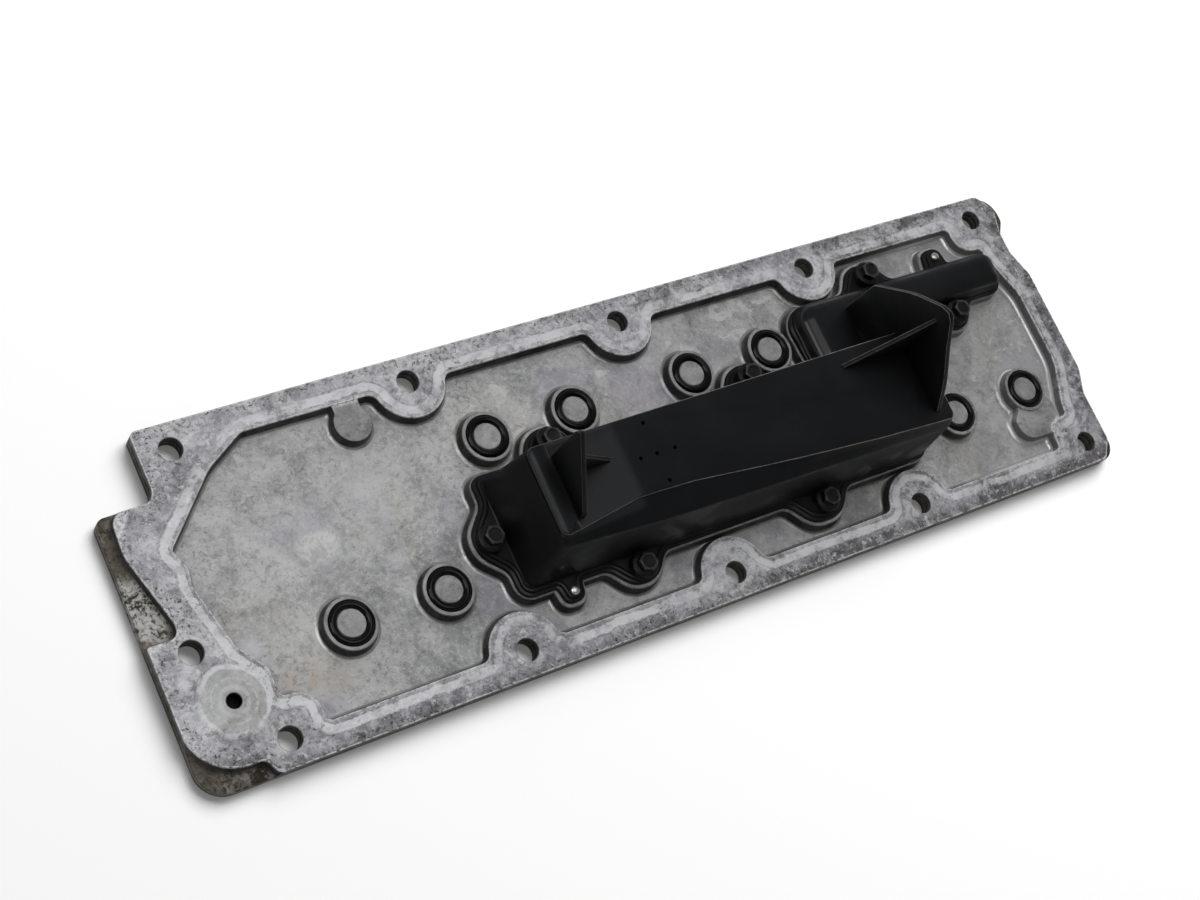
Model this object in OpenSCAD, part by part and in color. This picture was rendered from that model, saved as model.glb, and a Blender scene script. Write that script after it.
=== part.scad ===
// Engine valley cover, lying on its outer face with the inner side up.
// A die-cast plate closes the valley between two rows of cylinders. Its inner side carries
// eight oil plugs with O-rings and a moulded housing that separates oil from vent gas.
// Origin at the middle of the outer face. X runs along the engine, Z points into it.

/* [Cover plate] */
// Overall length of the casting
cover_length = 509; // [500:0.5:520]
// Overall width of the casting
cover_width = 153.6; // [151:0.2:158]
// Height of the gasket face above the outer face
flange_t = 9; // [8:0.25:12]
// Thickness of the pocket floor
floor_t = 3; // [2.5:0.25:3.5]
// Depth of the as-cast shelf below the gasket face
shelf_drop = 3.5; // [2:0.25:4.5]
// Width of the rim between the long edges and the pocket
rim_w = 12.9; // [12:0.1:13.5]
// Sideways run of the drafted pocket wall with its foot fillet
wall_run = 2.4; // [1:0.1:3]

/* [Bolt pattern] */
// Distance between bolt columns, equal to the cylinder pitch
bolt_pitch = 111.76; // [110:0.02:113]
// Distance from each bolt row to the long edge beside it
bolt_edge = 11.8; // [11.2:0.1:12.4]
// Diameter of the bolt holes
bolt_hole_d = 10.4; // [8.5:0.1:12]
// Distance from the left end to the first bolt column
first_bolt_in = 40.4; // [39.5:0.1:42]
// Radius of the rim lobe round each middle bolt
lobe_r = 17.3; // [16:0.1:18]
// Fillet where a lobe meets the straight rim
lobe_fillet = 5; // [3:0.5:6]
// Diameter of the oil passage in the corner pad
oil_passage_d = 6.6; // [5:0.1:8]

/* [Oil plugs] */
// Outer radius of a plug boss at its top
boss_r = 11.9; // [11.2:0.1:12.2]
// Outer radius of a plug boss at its foot
boss_foot_r = 14.1; // [12.5:0.1:14.3]
// Radius of the post inside the ring groove
post_r = 6.4; // [5.5:0.1:6.6]
// Inner diameter of the O-ring
ring_id = 13.1; // [12.9:0.1:13.5]
// Thickness of the O-ring's section
ring_section = 3.5; // [3:0.1:3.5]
// How far an O-ring stands proud of its boss
ring_proud = 0.8; // [0.3:0.1:1.2]

/* [Separator housing] */
// Wall thickness of the moulding
wall = 2.5; // [2:0.1:3]
// Thickness of the bolted flange
foot_t = 3.5; // [3:0.1:4.5]
// Height of the deck above the gasket face
deck_h = 36; // [30:0.5:42]
// Drop from the deck to the crease along the front wall
crease_drop = 4.5; // [3:0.1:7]
// Height of the back ledge above the gasket face
ledge_h = 11; // [9.5:0.1:13]
// Height of the wing plate's top above the gasket face
wing_h = 76; // [66:0.5:84]
// Height of the small fin above the deck
fin_h = 29; // [20:0.5:32]
// Thickness of the fin and the wing plate
plate_t = 2.6; // [2:0.1:3.2]
// Thickness of the gusset ribs
rib_t = 2; // [1.5:0.1:2.6]
// Diameter of the drain holes in the deck
drain_d = 1.9; // [1.5:0.1:3]
// Width of the rubber gasket in the flange's groove
gasket_w = 2.2; // [1.6:0.1:2.4]
// Depth of the gasket groove
groove_h = 2; // [1.5:0.1:2.4]
// Margin of the cast platform round the housing flange
platform_margin = 1.6; // [1:0.1:2]

/* [Fasteners] */
// Nominal diameter of the housing screws
screw_d = 5; // [4:0.5:5.5]
// Width of the screw's hexagon across its flats
hex_af = 8; // [7:0.5:9]
// Diameter of the screw's own washer
washer_d = 12.4; // [11:0.1:13]
// Height of the screw's washer
washer_t = 1.3; // [1:0.1:1.6]
// Height of the hexagon above the washer
hex_h = 3.7; // [3:0.1:4.5]
// Height of the collar that a screw clamps, above the flange
collar_h = 2.5; // [1.5:0.1:3]
// Diameter of the locating pins
pin_d = 4.4; // [3.6:0.1:5]
// Height of a pin's dome above the flange
pin_proud = 1.6; // [1:0.1:2.5]

/* [Hidden] */
$fn = 48;
arc_step = 15;
least_r = 0.4;

// Places measured from the first bolt column and the middle line
columns = 5;
shelf_z = flange_t - shelf_drop;
last_x = (columns - 1) * bolt_pitch;
left_x = -first_bolt_in;
right_x = cover_length - first_bolt_in;
side_y = cover_width / 2;
bolt_y = side_y - bolt_edge;
pocket_y = side_y - rim_w;
extra_bolt = [-24.2, -18.9];
oil_passage = [-15.5, -43];
blind_pad = [80, 54];
blind_pad_r = 8.6;
pad_neck = 12.5;

// Oil plug places: a pair for each cylinder bore pitch, left and right row in turn
plug_gap = 46.6;
plug_front_y = -28.9;
plug_back_y = 30.4;
plug_mid_x = [66.5, 159.8, 271.9, 403.7];
plug_row_y = [plug_front_y, plug_back_y, plug_back_y, plug_front_y];
plugs = [
    for (i = [0:3], s = [-1, 1]) [plug_mid_x[i] + s * plug_gap / 2, plug_row_y[i]]
];
ring_mid_r = (ring_id + ring_section) / 2;
groove_r = ring_mid_r + ring_section / 2 + 0.2;
groove_depth = ring_section - ring_proud;

// Housing heights
deck_z = flange_t + deck_h;
crease_z = deck_z - crease_drop;
foot_z = flange_t + foot_t;
ledge_z = flange_t + ledge_h;
wing_z = flange_t + wing_h;
seat_z = foot_z + collar_h;

// Housing places
box_left = 122.6;
box_right = 349.2;
box_back = 11.5;
box_front_left = -41;
box_front_right = -43.6;
crease_front_left = -35.2;
crease_front_right = -40.6;
ledge_left = 312.5;
ledge_back = 43.5;
channel_front = 26.5;
channel_right = 439;
foot_left = 118.4;
foot_right = 352;
foot_front = -44.8;
foot_back = 14;
foot_channel_front = 23.5;
foot_channel_right = 443;
foot_channel_back = 46;
foot_ledge_left = 308.8;
fin_x = 143;
wing_x = 340;
rib_y = 2;
screws = [
    [114.9, -15.2], [160.8, 18.8], [178.3, -48.6], [282.6, -48.6],
    [273.2, 19.3], [364, 51.2], [405.5, 18.6]
];
pins = [[142.4, -48.3], [410.4, 50.3]];
drains = [[190, 5.4], [181.4, -9.5], [190, -9.5], [199.6, -9.5], [190, -22.6]];
screw_clear = 0.4;
rim_step = 1.5;
hole_gap = 0.1;
collar_r = washer_d / 2 - 0.1;
screw_depth = flange_t - 1.6;
outlet = [428, 35];
outlet_d = 12;
inlet_w = 24;
inlet_h = 14;

// Unit vector along v
function unit(v) = v / norm(v);

// Angle of a vector
function heading(v) = atan2(v.y, v.x);

// One rounded corner at b: centre, radius, first angle, sweep and number of steps.
// A sweep above zero turns left, which is outwards on an anticlockwise outline.
function corner(a, b, c) =
    let (
        e = unit([b.x - a.x, b.y - a.y]),
        g = unit([c.x - b.x, c.y - b.y]),
        n1 = [e.y, -e.x],
        n2 = [g.y, -g.x],
        side = cross(e, g) < 0 ? -1 : 1,
        turn = side * acos(max(-1, min(1, e * g))),
        mid = [b.x, b.y] - side * b.z * (n1 + n2) / (1 + n1 * n2)
    )
    [mid, b.z, heading(side * n1), turn, b[3]];

// The rounded corners of a closed outline of [x, y, radius] points
function corners(pts) =
    let (n = len(pts))
    [for (i = [0:n - 1]) corner(pts[(i + n - 1) % n], pts[i], pts[(i + 1) % n])];

// Points along one corner, moved outwards by grow. A corner of no steps stays sharp.
function arc_points(arc, grow) =
    let (
        side = arc[3] < 0 ? -1 : 1,
        steps = is_undef(arc[4]) ? max(1, ceil(abs(arc[3]) / arc_step)) : arc[4],
        r = steps == 0 ? 0 : max(least_r, arc[1] + side * grow),
        lag = side * grow + arc[1] - r,
        half = arc[3] / 2,
        mid = arc[0] + lag / cos(half) * [cos(arc[2] + half), sin(arc[2] + half)]
    )
    [
        for (i = [0:steps])
            let (a = arc[2] + arc[3] * (steps == 0 ? 0.5 : i / steps))
            mid + r * [cos(a), sin(a)]
    ];

// The points of a whole outline of corners
function outline(arcs, grow = 0) = [for (arc = arcs) each arc_points(arc, grow)];

// The same corner turned half round the origin
function half_turn(arc) = [-arc[0], arc[1], arc[2] + 180, arc[3]];

// Rim lobe round a bolt of the back row: fillet, lobe and fillet, going towards -X
function rim_lobe(x) =
    let (
        drop = pocket_y - lobe_fillet - bolt_y,
        reach = sqrt(pow(lobe_r + lobe_fillet, 2) - drop * drop),
        tilt = atan2(-drop, reach)
    )
    [
        [[x + reach, bolt_y + drop], lobe_fillet, 90, 90 - tilt],
        [[x, bolt_y], lobe_r, -tilt, 2 * tilt - 180],
        [[x - reach, bolt_y + drop], lobe_fillet, tilt, 90 - tilt]
    ];

// Points of a screw lug on a flange edge: foot, tip, tip, foot, going along +X
function lug(mid, edge, tip, foot_w, tip_w, tip_r = 7) = [
    [mid - foot_w, edge, 4], [mid - tip_w, tip, tip_r],
    [mid + tip_w, tip, tip_r], [mid + foot_w, edge, 4]
];

// List in the opposite order
function reversed(list) = [for (i = [len(list) - 1:-1:0]) list[i]];

// Right end of the plate: the middle stands out from the two bolt corners
end_step = right_x - 7.6;
end_mid = right_x - 2.6;
right_end = [
    [end_step, -41, 6], [end_mid, -28, 8], [end_mid, 28, 8], [end_step, 42, 6]
];

// Outline of the lower layer, which shows as a shelf at three corners
lower_arcs = corners(concat(
    [[left_x, -side_y, 13], [end_step + 2.6, -side_y, 9], [end_step + 2.6, -64, 5]],
    [[end_step, -57, 5]],
    right_end,
    [[end_step, 50, 4], [right_x, 61, 6], [right_x, side_y, 12]],
    [[-14.2, side_y, 3], [-14.2, 46, 5], [left_x, 46, 4.5]]
));

// Outline of the raised layer with the gasket face
pad_arcs = corners(concat(
    [[left_x, -69.3, 21.5], [-12.4, -69.3, 4], [-9.2, -side_y, 5]],
    [[end_step - 7, -side_y, 4], [end_step, -67.5, 4]],
    right_end,
    [[end_step, 54, 5], [end_step + 3.6, 67, 6], [end_step - 3.5, side_y, 6]],
    [[-14.2, side_y, 3], [-14.2, 45.5, 5], [-34, 45.5, 6.5], [-35, 27, 22], [-26, -5.5, 6]],
    [[-26.4, -11.5, 4.2], [left_x, -11.5, 1.5]]
));

// Outline of the pocket at the gasket face
pocket_corners = corners(concat(
    [[2.9, -47.6, 2.5], [17.2, -48.6, 10], [17.2, -pocket_y, 3]],
    [[last_x - 17.4, -pocket_y, 3], [last_x - 16.6, -49, 10], [last_x - 3.6, -48.4, 2.5]],
    [[last_x - 2.2, -41, 4], [last_x + 6.2, -20, 25], [last_x + 6.2, 20, 25]],
    [[last_x - 1.8, 41, 4], [last_x - 3.2, 48.8, 2.5], [last_x - 16.8, 49.4, 10]],
    [[last_x - 17.4, pocket_y, 3]],
    [[31, pocket_y, 6], [12, 52.4, 25], [-16, 23.5, 3], [-12.2, 14.5, 3], [-13.7, 7, 4]],
    [[-6.3, -22.5, 4], [2.8, -35, 6]]
));
pocket_arcs = concat(
    [for (i = [0:2]) pocket_corners[i]],
    [for (i = [1:columns - 2]) each [for (arc = rim_lobe(-i * bolt_pitch)) half_turn(arc)]],
    [for (i = [3:12]) pocket_corners[i]],
    [for (i = [columns - 2:-1:1]) each rim_lobe(i * bolt_pitch)],
    [for (i = [13:len(pocket_corners) - 1]) pocket_corners[i]]
);

// Outline of the housing flange with its seven screw lugs and two pin tabs
foot_arcs = corners(concat(
    [[foot_left, foot_back, 5], [foot_left, 1, 5], [108.4, -9.5, 8], [108.4, -20.5, 8]],
    [[foot_left, -31, 5], [foot_left, foot_front, 7], [136.2, foot_front, 1.5]],
    [[137.6, -53, 4.2], [147.2, -53, 4.2], [148.8, foot_front, 1.5]],
    lug(screws[2].x, foot_front, screws[2].y - 7, 15.5, 7.5),
    lug(screws[3].x - 1, foot_front, screws[3].y - 8.6, 18, 9.5),
    [[foot_right, foot_front, 8], [foot_right, 12, 8], [foot_right + 12, foot_channel_front, 8]],
    [[391.5, foot_channel_front, 3], [398.7, 11, 6], [412.3, 11, 6]],
    [[419.5, foot_channel_front, 3]],
    [[foot_channel_right, foot_channel_front, 7], [foot_channel_right, foot_channel_back, 7]],
    [[417.6, foot_channel_back, 2], [415.8, 55.4, 4.6], [405, 55.4, 4.6]],
    [[403.2, foot_channel_back, 2]],
    [[378.5, foot_channel_back, 4], [372, 58, 7], [356, 58, 7], [349, foot_channel_back, 4]],
    [[foot_ledge_left, foot_channel_back, 12], [foot_ledge_left + 2, foot_back, 4]],
    reversed(lug(screws[4].x, foot_back, screws[4].y + 7.4, 15.5, 7)),
    reversed(lug(screws[1].x, foot_back, screws[1].y + 7.4, 14.5, 7))
));

// The slanted wall from the box's right end to the vent channel, and where the ledge starts
slant_start = [box_right, box_back - 2];
slant_end = [box_right + 12, channel_front];
ledge_root_y = box_back - 8;
ledge_root_x = slant_start.x - (slant_start.y - ledge_root_y)
    * (slant_end.x - slant_start.x) / (slant_end.y - slant_start.y);

// Foot line of the housing walls: the box, the ledge behind it and the vent channel
chamber_arcs = corners([
    [box_left, box_back, 5], [box_left, box_front_left, 5.5],
    [box_right, box_front_right, 5], [slant_start.x, slant_start.y, 3],
    [slant_end.x, slant_end.y, 7], [channel_right, channel_front, 6],
    [channel_right, ledge_back, 6], [ledge_left, ledge_back, 10],
    [ledge_left, box_back, 3]
]);

// Front edge of the deck: it swings in towards the left third of the box
deck_front = [
    [box_left + 9, -31.4], [178, -24.6, 100, 4], [258, -32.6, 160, 3], [box_right - 0.5, -38.3]
];
stations = [
    for (i = [1:2]) each arc_points(corner(deck_front[i - 1], deck_front[i], deck_front[i + 1]), 0)
];

// Outline of the box at one level, from its left, right and back sides and its front edge
function box_ring(left, right, back, corner_r, front_left, front, front_right) = corners(concat(
    [[left, back, corner_r, 4], [left, front_left, corner_r, 4]],
    [for (i = [0:len(front) - 1]) [front[i].x, front[i].y, 1, 0]],
    [[right, front_right, corner_r, 4], [right, back, corner_r, 4]]
));

// Value between a and b for x between the box's ends, bowed by bow in the middle
function along_box(x, a, b, bow) =
    let (t = (x - box_left) / (box_right - box_left)) a + (b - a) * t + 4 * bow * t * (1 - t);

// The box's outline at its foot, at the crease and at the deck
box_foot = box_ring(box_left, box_right, box_back, 5, box_front_left,
    [for (p = stations) [p.x, along_box(p.x, box_front_left, box_front_right, -0.4)]],
    box_front_right);
box_crease = box_ring(box_left + 7.8, box_right - 0.3, box_back - 1, 4.5, crease_front_left,
    [for (p = stations) [p.x, along_box(p.x, crease_front_left, crease_front_right, -1.1)]],
    crease_front_right);
box_deck = box_ring(box_left + 9, box_right - 0.5, box_back - 1.3, 3.5, deck_front[0].y,
    stations, deck_front[3].y);
edge_r = 1;
shoulder_r = 2.6;
tiny_area = 0.00001;

// True when the outline's corner at place k of ring can be cut off as a triangle
function is_ear(points, ring, k) =
    let (
        n = len(ring),
        a = points[ring[(k + n - 1) % n]],
        b = points[ring[k]],
        c = points[ring[(k + 1) % n]],
        inside = [
            for (i = ring) let (q = points[i])
                if (q != a && q != b && q != c && cross(b - a, q - a) >= 0
                    && cross(c - b, q - b) >= 0 && cross(a - c, q - c) >= 0) i
        ]
    )
    cross(b - a, c - b) > tiny_area && len(inside) == 0;

function first_ear(points, ring, k = 0) =
    k >= len(ring) - 1 || is_ear(points, ring, k) ? k : first_ear(points, ring, k + 1);

// Triangles that fill an anticlockwise outline, cut off one corner after the other
function fill(points, ring) =
    len(ring) < 4 ? [ring] :
    let (n = len(ring), k = first_ear(points, ring))
    concat(
        [[ring[(k + n - 1) % n], ring[k], ring[(k + 1) % n]]],
        fill(points, [for (i = [0:n - 1]) if (i != k) ring[i]])
    );

// Numbers of an outline's points, without those that repeat the point before them
function places(points) = [
    for (i = [0:len(points) - 1])
        if (norm(points[i] - points[(i + len(points) - 1) % len(points)]) > 0.001) i
];

function flat(ring) = [for (p = ring) [p.x, p.y]];

// A closed skin through rings of equally many points, lowest ring first
module skin(rings) {
    n = len(rings[0]);
    levels = len(rings);
    top = rings[levels - 1];
    sides = [
        for (k = [0:levels - 2], i = [0:n - 1])
            let (a = k * n + i, b = k * n + (i + 1) % n)
            each [[b, a, a + n], [b, a + n, b + n]]
    ];
    floor_faces = fill(flat(rings[0]), places(rings[0]));
    top_faces = [
        for (t = fill(flat(top), places(top))) [t[2], t[1], t[0]] + (levels - 1) * n * [1, 1, 1]
    ];
    polyhedron([for (ring = rings) each ring], concat(floor_faces, sides, top_faces));
}

// A ring of points lifted to one height
function lifted(points, z) = [for (p = points) [p.x, p.y, z]];

// Moves children from the first bolt column to the part's own middle
module from_first_bolt() translate([first_bolt_in - cover_length / 2, 0, 0]) children();

// Children at every bolt hole of the two rows
module at_bolts() {
    for (i = [0:columns - 1], s = [-1, 1]) translate([i * bolt_pitch, s * bolt_y, 0]) children();
}

// A flat slab between two heights over an outline of corners
module slab(arcs, z0, z1, grow = 0) {
    translate([0, 0, z0]) linear_extrude(z1 - z0) polygon(outline(arcs, grow));
}

// Boss of one oil plug with its ring groove, standing on the floor
module plug_boss() {
    rise = flange_t - floor_t;
    foot = boss_foot_r - boss_r;
    rotate_extrude() polygon([
        [0, -1], [boss_foot_r, -1], [boss_foot_r, 0], [boss_foot_r - foot * 0.5, 0.4],
        [boss_r + foot * 0.22, 1.4], [boss_r + 0.15, rise - 0.3], [boss_r - 0.2, rise],
        [groove_r, rise], [groove_r, rise - groove_depth], [post_r, rise - groove_depth],
        [post_r, rise - 0.4], [post_r - 0.4, rise], [0, rise]
    ]);
}

// The pocket: its wall leans out and meets the floor in a fillet
module pocket() {
    skin([
        lifted(outline(pocket_arcs, -wall_run), floor_t),
        lifted(outline(pocket_arcs, -wall_run * 0.6), floor_t + 0.5),
        lifted(outline(pocket_arcs, -wall_run * 0.3), floor_t + 1.8),
        lifted(outline(pocket_arcs, 0), flange_t),
        lifted(outline(pocket_arcs, 0), flange_t + 1)
    ]);
}

// Low irregular pad that joins the last plug boss
module end_pad() {
    pad = corners([
        [413, -28, 3], [413.2, -51, 6], [439, -53.5, 8], [441.5, -28, 3]
    ]);
    slab(pad, floor_t - 1, flange_t - 0.6);
}

// Blind pad with its neck on the back rim
module rim_pad() {
    translate([blind_pad.x, blind_pad.y, floor_t - 1])
        cylinder(h = flange_t - floor_t + 0.5, r = blind_pad_r);
    translate([blind_pad.x - pad_neck / 2, blind_pad.y, floor_t - 1])
        cube([pad_neck, pocket_y - blind_pad.y + 2, flange_t - floor_t + 0.5]);
}

// Raised land that carries the housing, with a hollow under the housing's chamber
module platform() {
    difference() {
        slab(foot_arcs, floor_t - 1, flange_t, platform_margin);
        slab(chamber_arcs, floor_t - 2, flange_t + 1, -wall - 3);
    }
}

module cover_casting() {
    color("silver") from_first_bolt() difference() {
        union() {
            difference() {
                union() {
                    slab(lower_arcs, 0, shelf_z);
                    slab(pad_arcs, 0, flange_t);
                }
                pocket();
            }
            platform();
            for (p = plugs) translate([p.x, p.y, floor_t]) plug_boss();
            end_pad();
            rim_pad();
            translate([outlet.x, outlet.y, floor_t - 1])
                cylinder(h = 3, r = outlet_d / 2 + 2);
        }
        for (p = plugs) translate([p.x, p.y, flange_t - groove_depth]) difference() {
            cylinder(h = groove_depth + 1, r = groove_r);
            cylinder(h = groove_depth + 1, r = post_r);
        }
        at_bolts() translate([0, 0, -1]) cylinder(h = flange_t + 2, d = bolt_hole_d);
        translate([extra_bolt.x, extra_bolt.y, -1]) cylinder(h = flange_t + 2, d = bolt_hole_d);
        translate([oil_passage.x, oil_passage.y, -1])
            cylinder(h = flange_t + 2, d = oil_passage_d);
        translate([outlet.x, outlet.y, -1]) cylinder(h = flange_t + 2, d = outlet_d);
        for (p = screws) translate([p.x, p.y, flange_t - screw_depth])
            cylinder(h = screw_depth + 1, d = screw_d + 2 * hole_gap);
        for (p = pins) translate([p.x, p.y, flange_t - screw_depth])
            cylinder(h = screw_depth + 1, d = pin_d);
    }
}

// Closed form of the box, drawn in from its walls by inset
module box_form(inset, z0, top) {
    skin([
        lifted(outline(box_foot, -inset), z0),
        lifted(outline(box_foot, -inset), foot_z + 0.3),
        lifted(outline(box_crease, -inset), crease_z - inset * 0.4),
        lifted(outline(box_deck, -inset), top - edge_r * 0.6),
        lifted(outline(box_deck, -inset - edge_r), top)
    ]);
}

// Closed form of the ledge behind the box and the vent channel, with a round shoulder
module ledge_form(inset, z0, top) {
    ledge = corners([
        [ledge_left, ledge_root_y, 3, 2], [ledge_root_x, ledge_root_y, 3, 2],
        [slant_end.x, slant_end.y, 7, 3], [channel_right, channel_front, 6, 4],
        [channel_right, ledge_back, 6, 4], [ledge_left, ledge_back, 10, 5]
    ]);
    skin([
        lifted(outline(ledge, -inset), z0),
        lifted(outline(ledge, -inset - 0.4), top - shoulder_r),
        lifted(outline(ledge, -inset - 0.4 - shoulder_r * 0.3), top - shoulder_r * 0.3),
        lifted(outline(ledge, -inset - 0.4 - shoulder_r), top)
    ]);
}

// Upright plate across the housing, drawn in the YZ plane at x
module cross_plate(x, t, points) {
    translate([x - t / 2, 0, 0]) rotate([90, 0, 90]) linear_extrude(t) polygon(points);
}

// Upright rib along the housing, drawn in the XZ plane at y
module long_rib(y, t, points) {
    translate([0, y + t / 2, 0]) rotate([90, 0, 0]) linear_extrude(t) polygon(points);
}

module fin() {
    cross_plate(fin_x, plate_t, [
        [-26, deck_z - 1], [4.2, deck_z - 1], [4, deck_z + fin_h - 3],
        [2.6, deck_z + fin_h], [0.6, deck_z + fin_h - 1], [-25.4, deck_z + 2]
    ]);
    long_rib(-8, rib_t, [
        [fin_x, deck_z - 1], [fin_x + 17, deck_z - 1], [fin_x + 17, deck_z],
        [fin_x + 3, deck_z + fin_h * 0.42], [fin_x, deck_z + fin_h * 0.42]
    ]);
}

// The wing plate follows the sides of the engine's vee at 45 degrees
module wing() {
    apex = 0.6;
    slope = 45;
    shoulder_y = 35;
    knee_z = wing_z - (shoulder_y - apex) / tan(slope);
    front_z = wing_z - (apex + 30) / tan(slope) - 4;
    root_y = box_back - wall * 0.8;
    cross_plate(wing_x, plate_t, [
        [-31.5, deck_z - 1], [root_y, deck_z - 1], [root_y, ledge_z - 1],
        [shoulder_y + 1, ledge_z - 1], [shoulder_y, knee_z], [apex + 4, wing_z - 3],
        [apex, wing_z], [apex - 3, wing_z - 1.4], [-12, wing_z - 12],
        [-30.5, front_z], [-32.4, deck_z + 1]
    ]);
    long_rib(rib_y, rib_t, [
        [wing_x, deck_z - 1], [wing_x - 39, deck_z - 1], [wing_x - 39, deck_z],
        [wing_x, wing_z - 9]
    ]);
}

// Flange of the housing: two stepped layers round the chamber, with collars for the screws
module housing_flange() {
    difference() {
        union() {
            slab(foot_arcs, flange_t, foot_z - rim_step);
            slab(foot_arcs, flange_t + 0.5, foot_z, -rim_step);
            for (p = screws) translate([p.x, p.y, flange_t + 1])
                cylinder(h = foot_t + collar_h - 1, r = collar_r);
        }
        slab(chamber_arcs, flange_t - 1, foot_z + 1, 0.3 - wall);
    }
}

// Walls and roof of the housing, open at the bottom
module housing_shell() {
    difference() {
        union() {
            box_form(0, flange_t + 0.2, deck_z);
            ledge_form(0, flange_t + 0.4, ledge_z);
        }
        box_form(wall, flange_t - 1, deck_z - wall);
        ledge_form(wall, flange_t - 1.4, ledge_z - wall);
    }
}

module separator_housing() {
    color([0.08, 0.08, 0.085]) from_first_bolt() difference() {
        union() {
            housing_flange();
            housing_shell();
            fin();
            wing();
        }
        difference() {
            slab(chamber_arcs, flange_t - 1, flange_t + groove_h, gasket_w / 2 + hole_gap);
            slab(chamber_arcs, flange_t - 2, flange_t + groove_h + 1, -gasket_w / 2 - hole_gap);
        }
        for (p = screws) translate([p.x, p.y, flange_t - 1])
            cylinder(h = foot_t + collar_h + 2, d = screw_d + 2 * screw_clear);
        for (p = pins) translate([p.x, p.y, flange_t - 1])
            cylinder(h = foot_t + 2, d = pin_d + 2 * hole_gap);
        for (p = drains) translate([p.x, p.y, deck_z - wall - 1])
            cylinder(h = wall + 2, d = drain_d);
        translate([box_right - wall - 2, -inlet_w / 2 - 16, deck_z - wall - 3 - inlet_h])
            cube([wall + 4, inlet_w, inlet_h]);
    }
}

module separator_gasket() {
    color([0.2, 0.2, 0.2]) from_first_bolt() difference() {
        slab(chamber_arcs, flange_t, flange_t + groove_h - hole_gap, gasket_w / 2);
        slab(chamber_arcs, flange_t - 1, flange_t + groove_h + 1, -gasket_w / 2);
    }
}

// O-ring in the groove of plug number i
module oil_seal(i) {
    p = plugs[i - 1];
    color([0.03, 0.03, 0.03]) from_first_bolt()
        translate([p.x, p.y, flange_t - groove_depth + ring_section / 2])
            rotate_extrude() translate([ring_mid_r, 0]) circle(d = ring_section);
}

// Flanged hexagon screw number i
module separator_screw(i) {
    p = screws[i - 1];
    hex_r = hex_af / 2 / cos(30);
    color([0.12, 0.12, 0.12]) from_first_bolt() translate([p.x, p.y, seat_z]) {
        translate([0, 0, -collar_h - foot_t - screw_depth + 0.8])
            cylinder(h = collar_h + foot_t + screw_depth, d = screw_d);
        cylinder(h = 0.7, d = washer_d);
        translate([0, 0, 0.7]) cylinder(h = washer_t - 0.7, d1 = washer_d, d2 = washer_d - 3);
        intersection() {
            translate([0, 0, 0.5]) cylinder(h = washer_t + hex_h - 0.5, r = hex_r, $fn = 6);
            cylinder(h = washer_t + hex_h, r1 = hex_r * 2, r2 = hex_af / 2 - 0.2);
        }
    }
}

// Pressed-in pin number i, with a domed end
module locating_pin(i) {
    p = pins[i - 1];
    color("gainsboro") from_first_bolt() translate([p.x, p.y, flange_t - screw_depth])
        rotate_extrude() polygon([
            [0, 0], [pin_d / 2, 0], [pin_d / 2, screw_depth + foot_t + pin_proud * 0.4],
            [pin_d / 2 * 0.87, screw_depth + foot_t + pin_proud * 0.72],
            [pin_d / 2 * 0.5, screw_depth + foot_t + pin_proud * 0.94],
            [0, screw_depth + foot_t + pin_proud]
        ]);
}

cover_casting();
separator_housing();
separator_gasket();
oil_seal(1);  // oil_seal_1
oil_seal(2);  // oil_seal_2
oil_seal(3);  // oil_seal_3
oil_seal(4);  // oil_seal_4
oil_seal(5);  // oil_seal_5
oil_seal(6);  // oil_seal_6
oil_seal(7);  // oil_seal_7
oil_seal(8);  // oil_seal_8
separator_screw(1);  // separator_screw_1
separator_screw(2);  // separator_screw_2
separator_screw(3);  // separator_screw_3
separator_screw(4);  // separator_screw_4
separator_screw(5);  // separator_screw_5
separator_screw(6);  // separator_screw_6
separator_screw(7);  // separator_screw_7
locating_pin(1);  // locating_pin_1
locating_pin(2);  // locating_pin_2
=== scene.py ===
from math import acos, atan2, ceil, cos, degrees, hypot, radians, sin, sqrt

import bpy
import numpy as np
from mathutils import Matrix, Vector
from mathutils.geometry import delaunay_2d_cdt


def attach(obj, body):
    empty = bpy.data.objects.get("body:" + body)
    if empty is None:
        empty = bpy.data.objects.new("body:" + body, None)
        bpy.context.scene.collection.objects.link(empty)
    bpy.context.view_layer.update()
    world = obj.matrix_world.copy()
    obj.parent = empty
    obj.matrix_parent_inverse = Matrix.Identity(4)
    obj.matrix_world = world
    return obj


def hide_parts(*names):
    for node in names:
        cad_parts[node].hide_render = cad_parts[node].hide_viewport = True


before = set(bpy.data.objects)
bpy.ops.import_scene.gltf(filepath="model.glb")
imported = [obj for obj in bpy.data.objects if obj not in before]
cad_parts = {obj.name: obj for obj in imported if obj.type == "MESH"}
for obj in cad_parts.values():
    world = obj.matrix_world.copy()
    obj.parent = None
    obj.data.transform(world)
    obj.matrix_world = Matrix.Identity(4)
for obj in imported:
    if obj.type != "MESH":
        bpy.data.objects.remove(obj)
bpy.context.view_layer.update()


# The photographer's view.
# The cover lies on a white sheet with its gasket face up, and is seen from its
# front left corner, 57 degrees above the sheet, through a short tele lens.

def linked(name, data):
    """A new object in the scene."""
    item = bpy.data.objects.new(name, data)
    bpy.context.scene.collection.objects.link(item)
    return item


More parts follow.
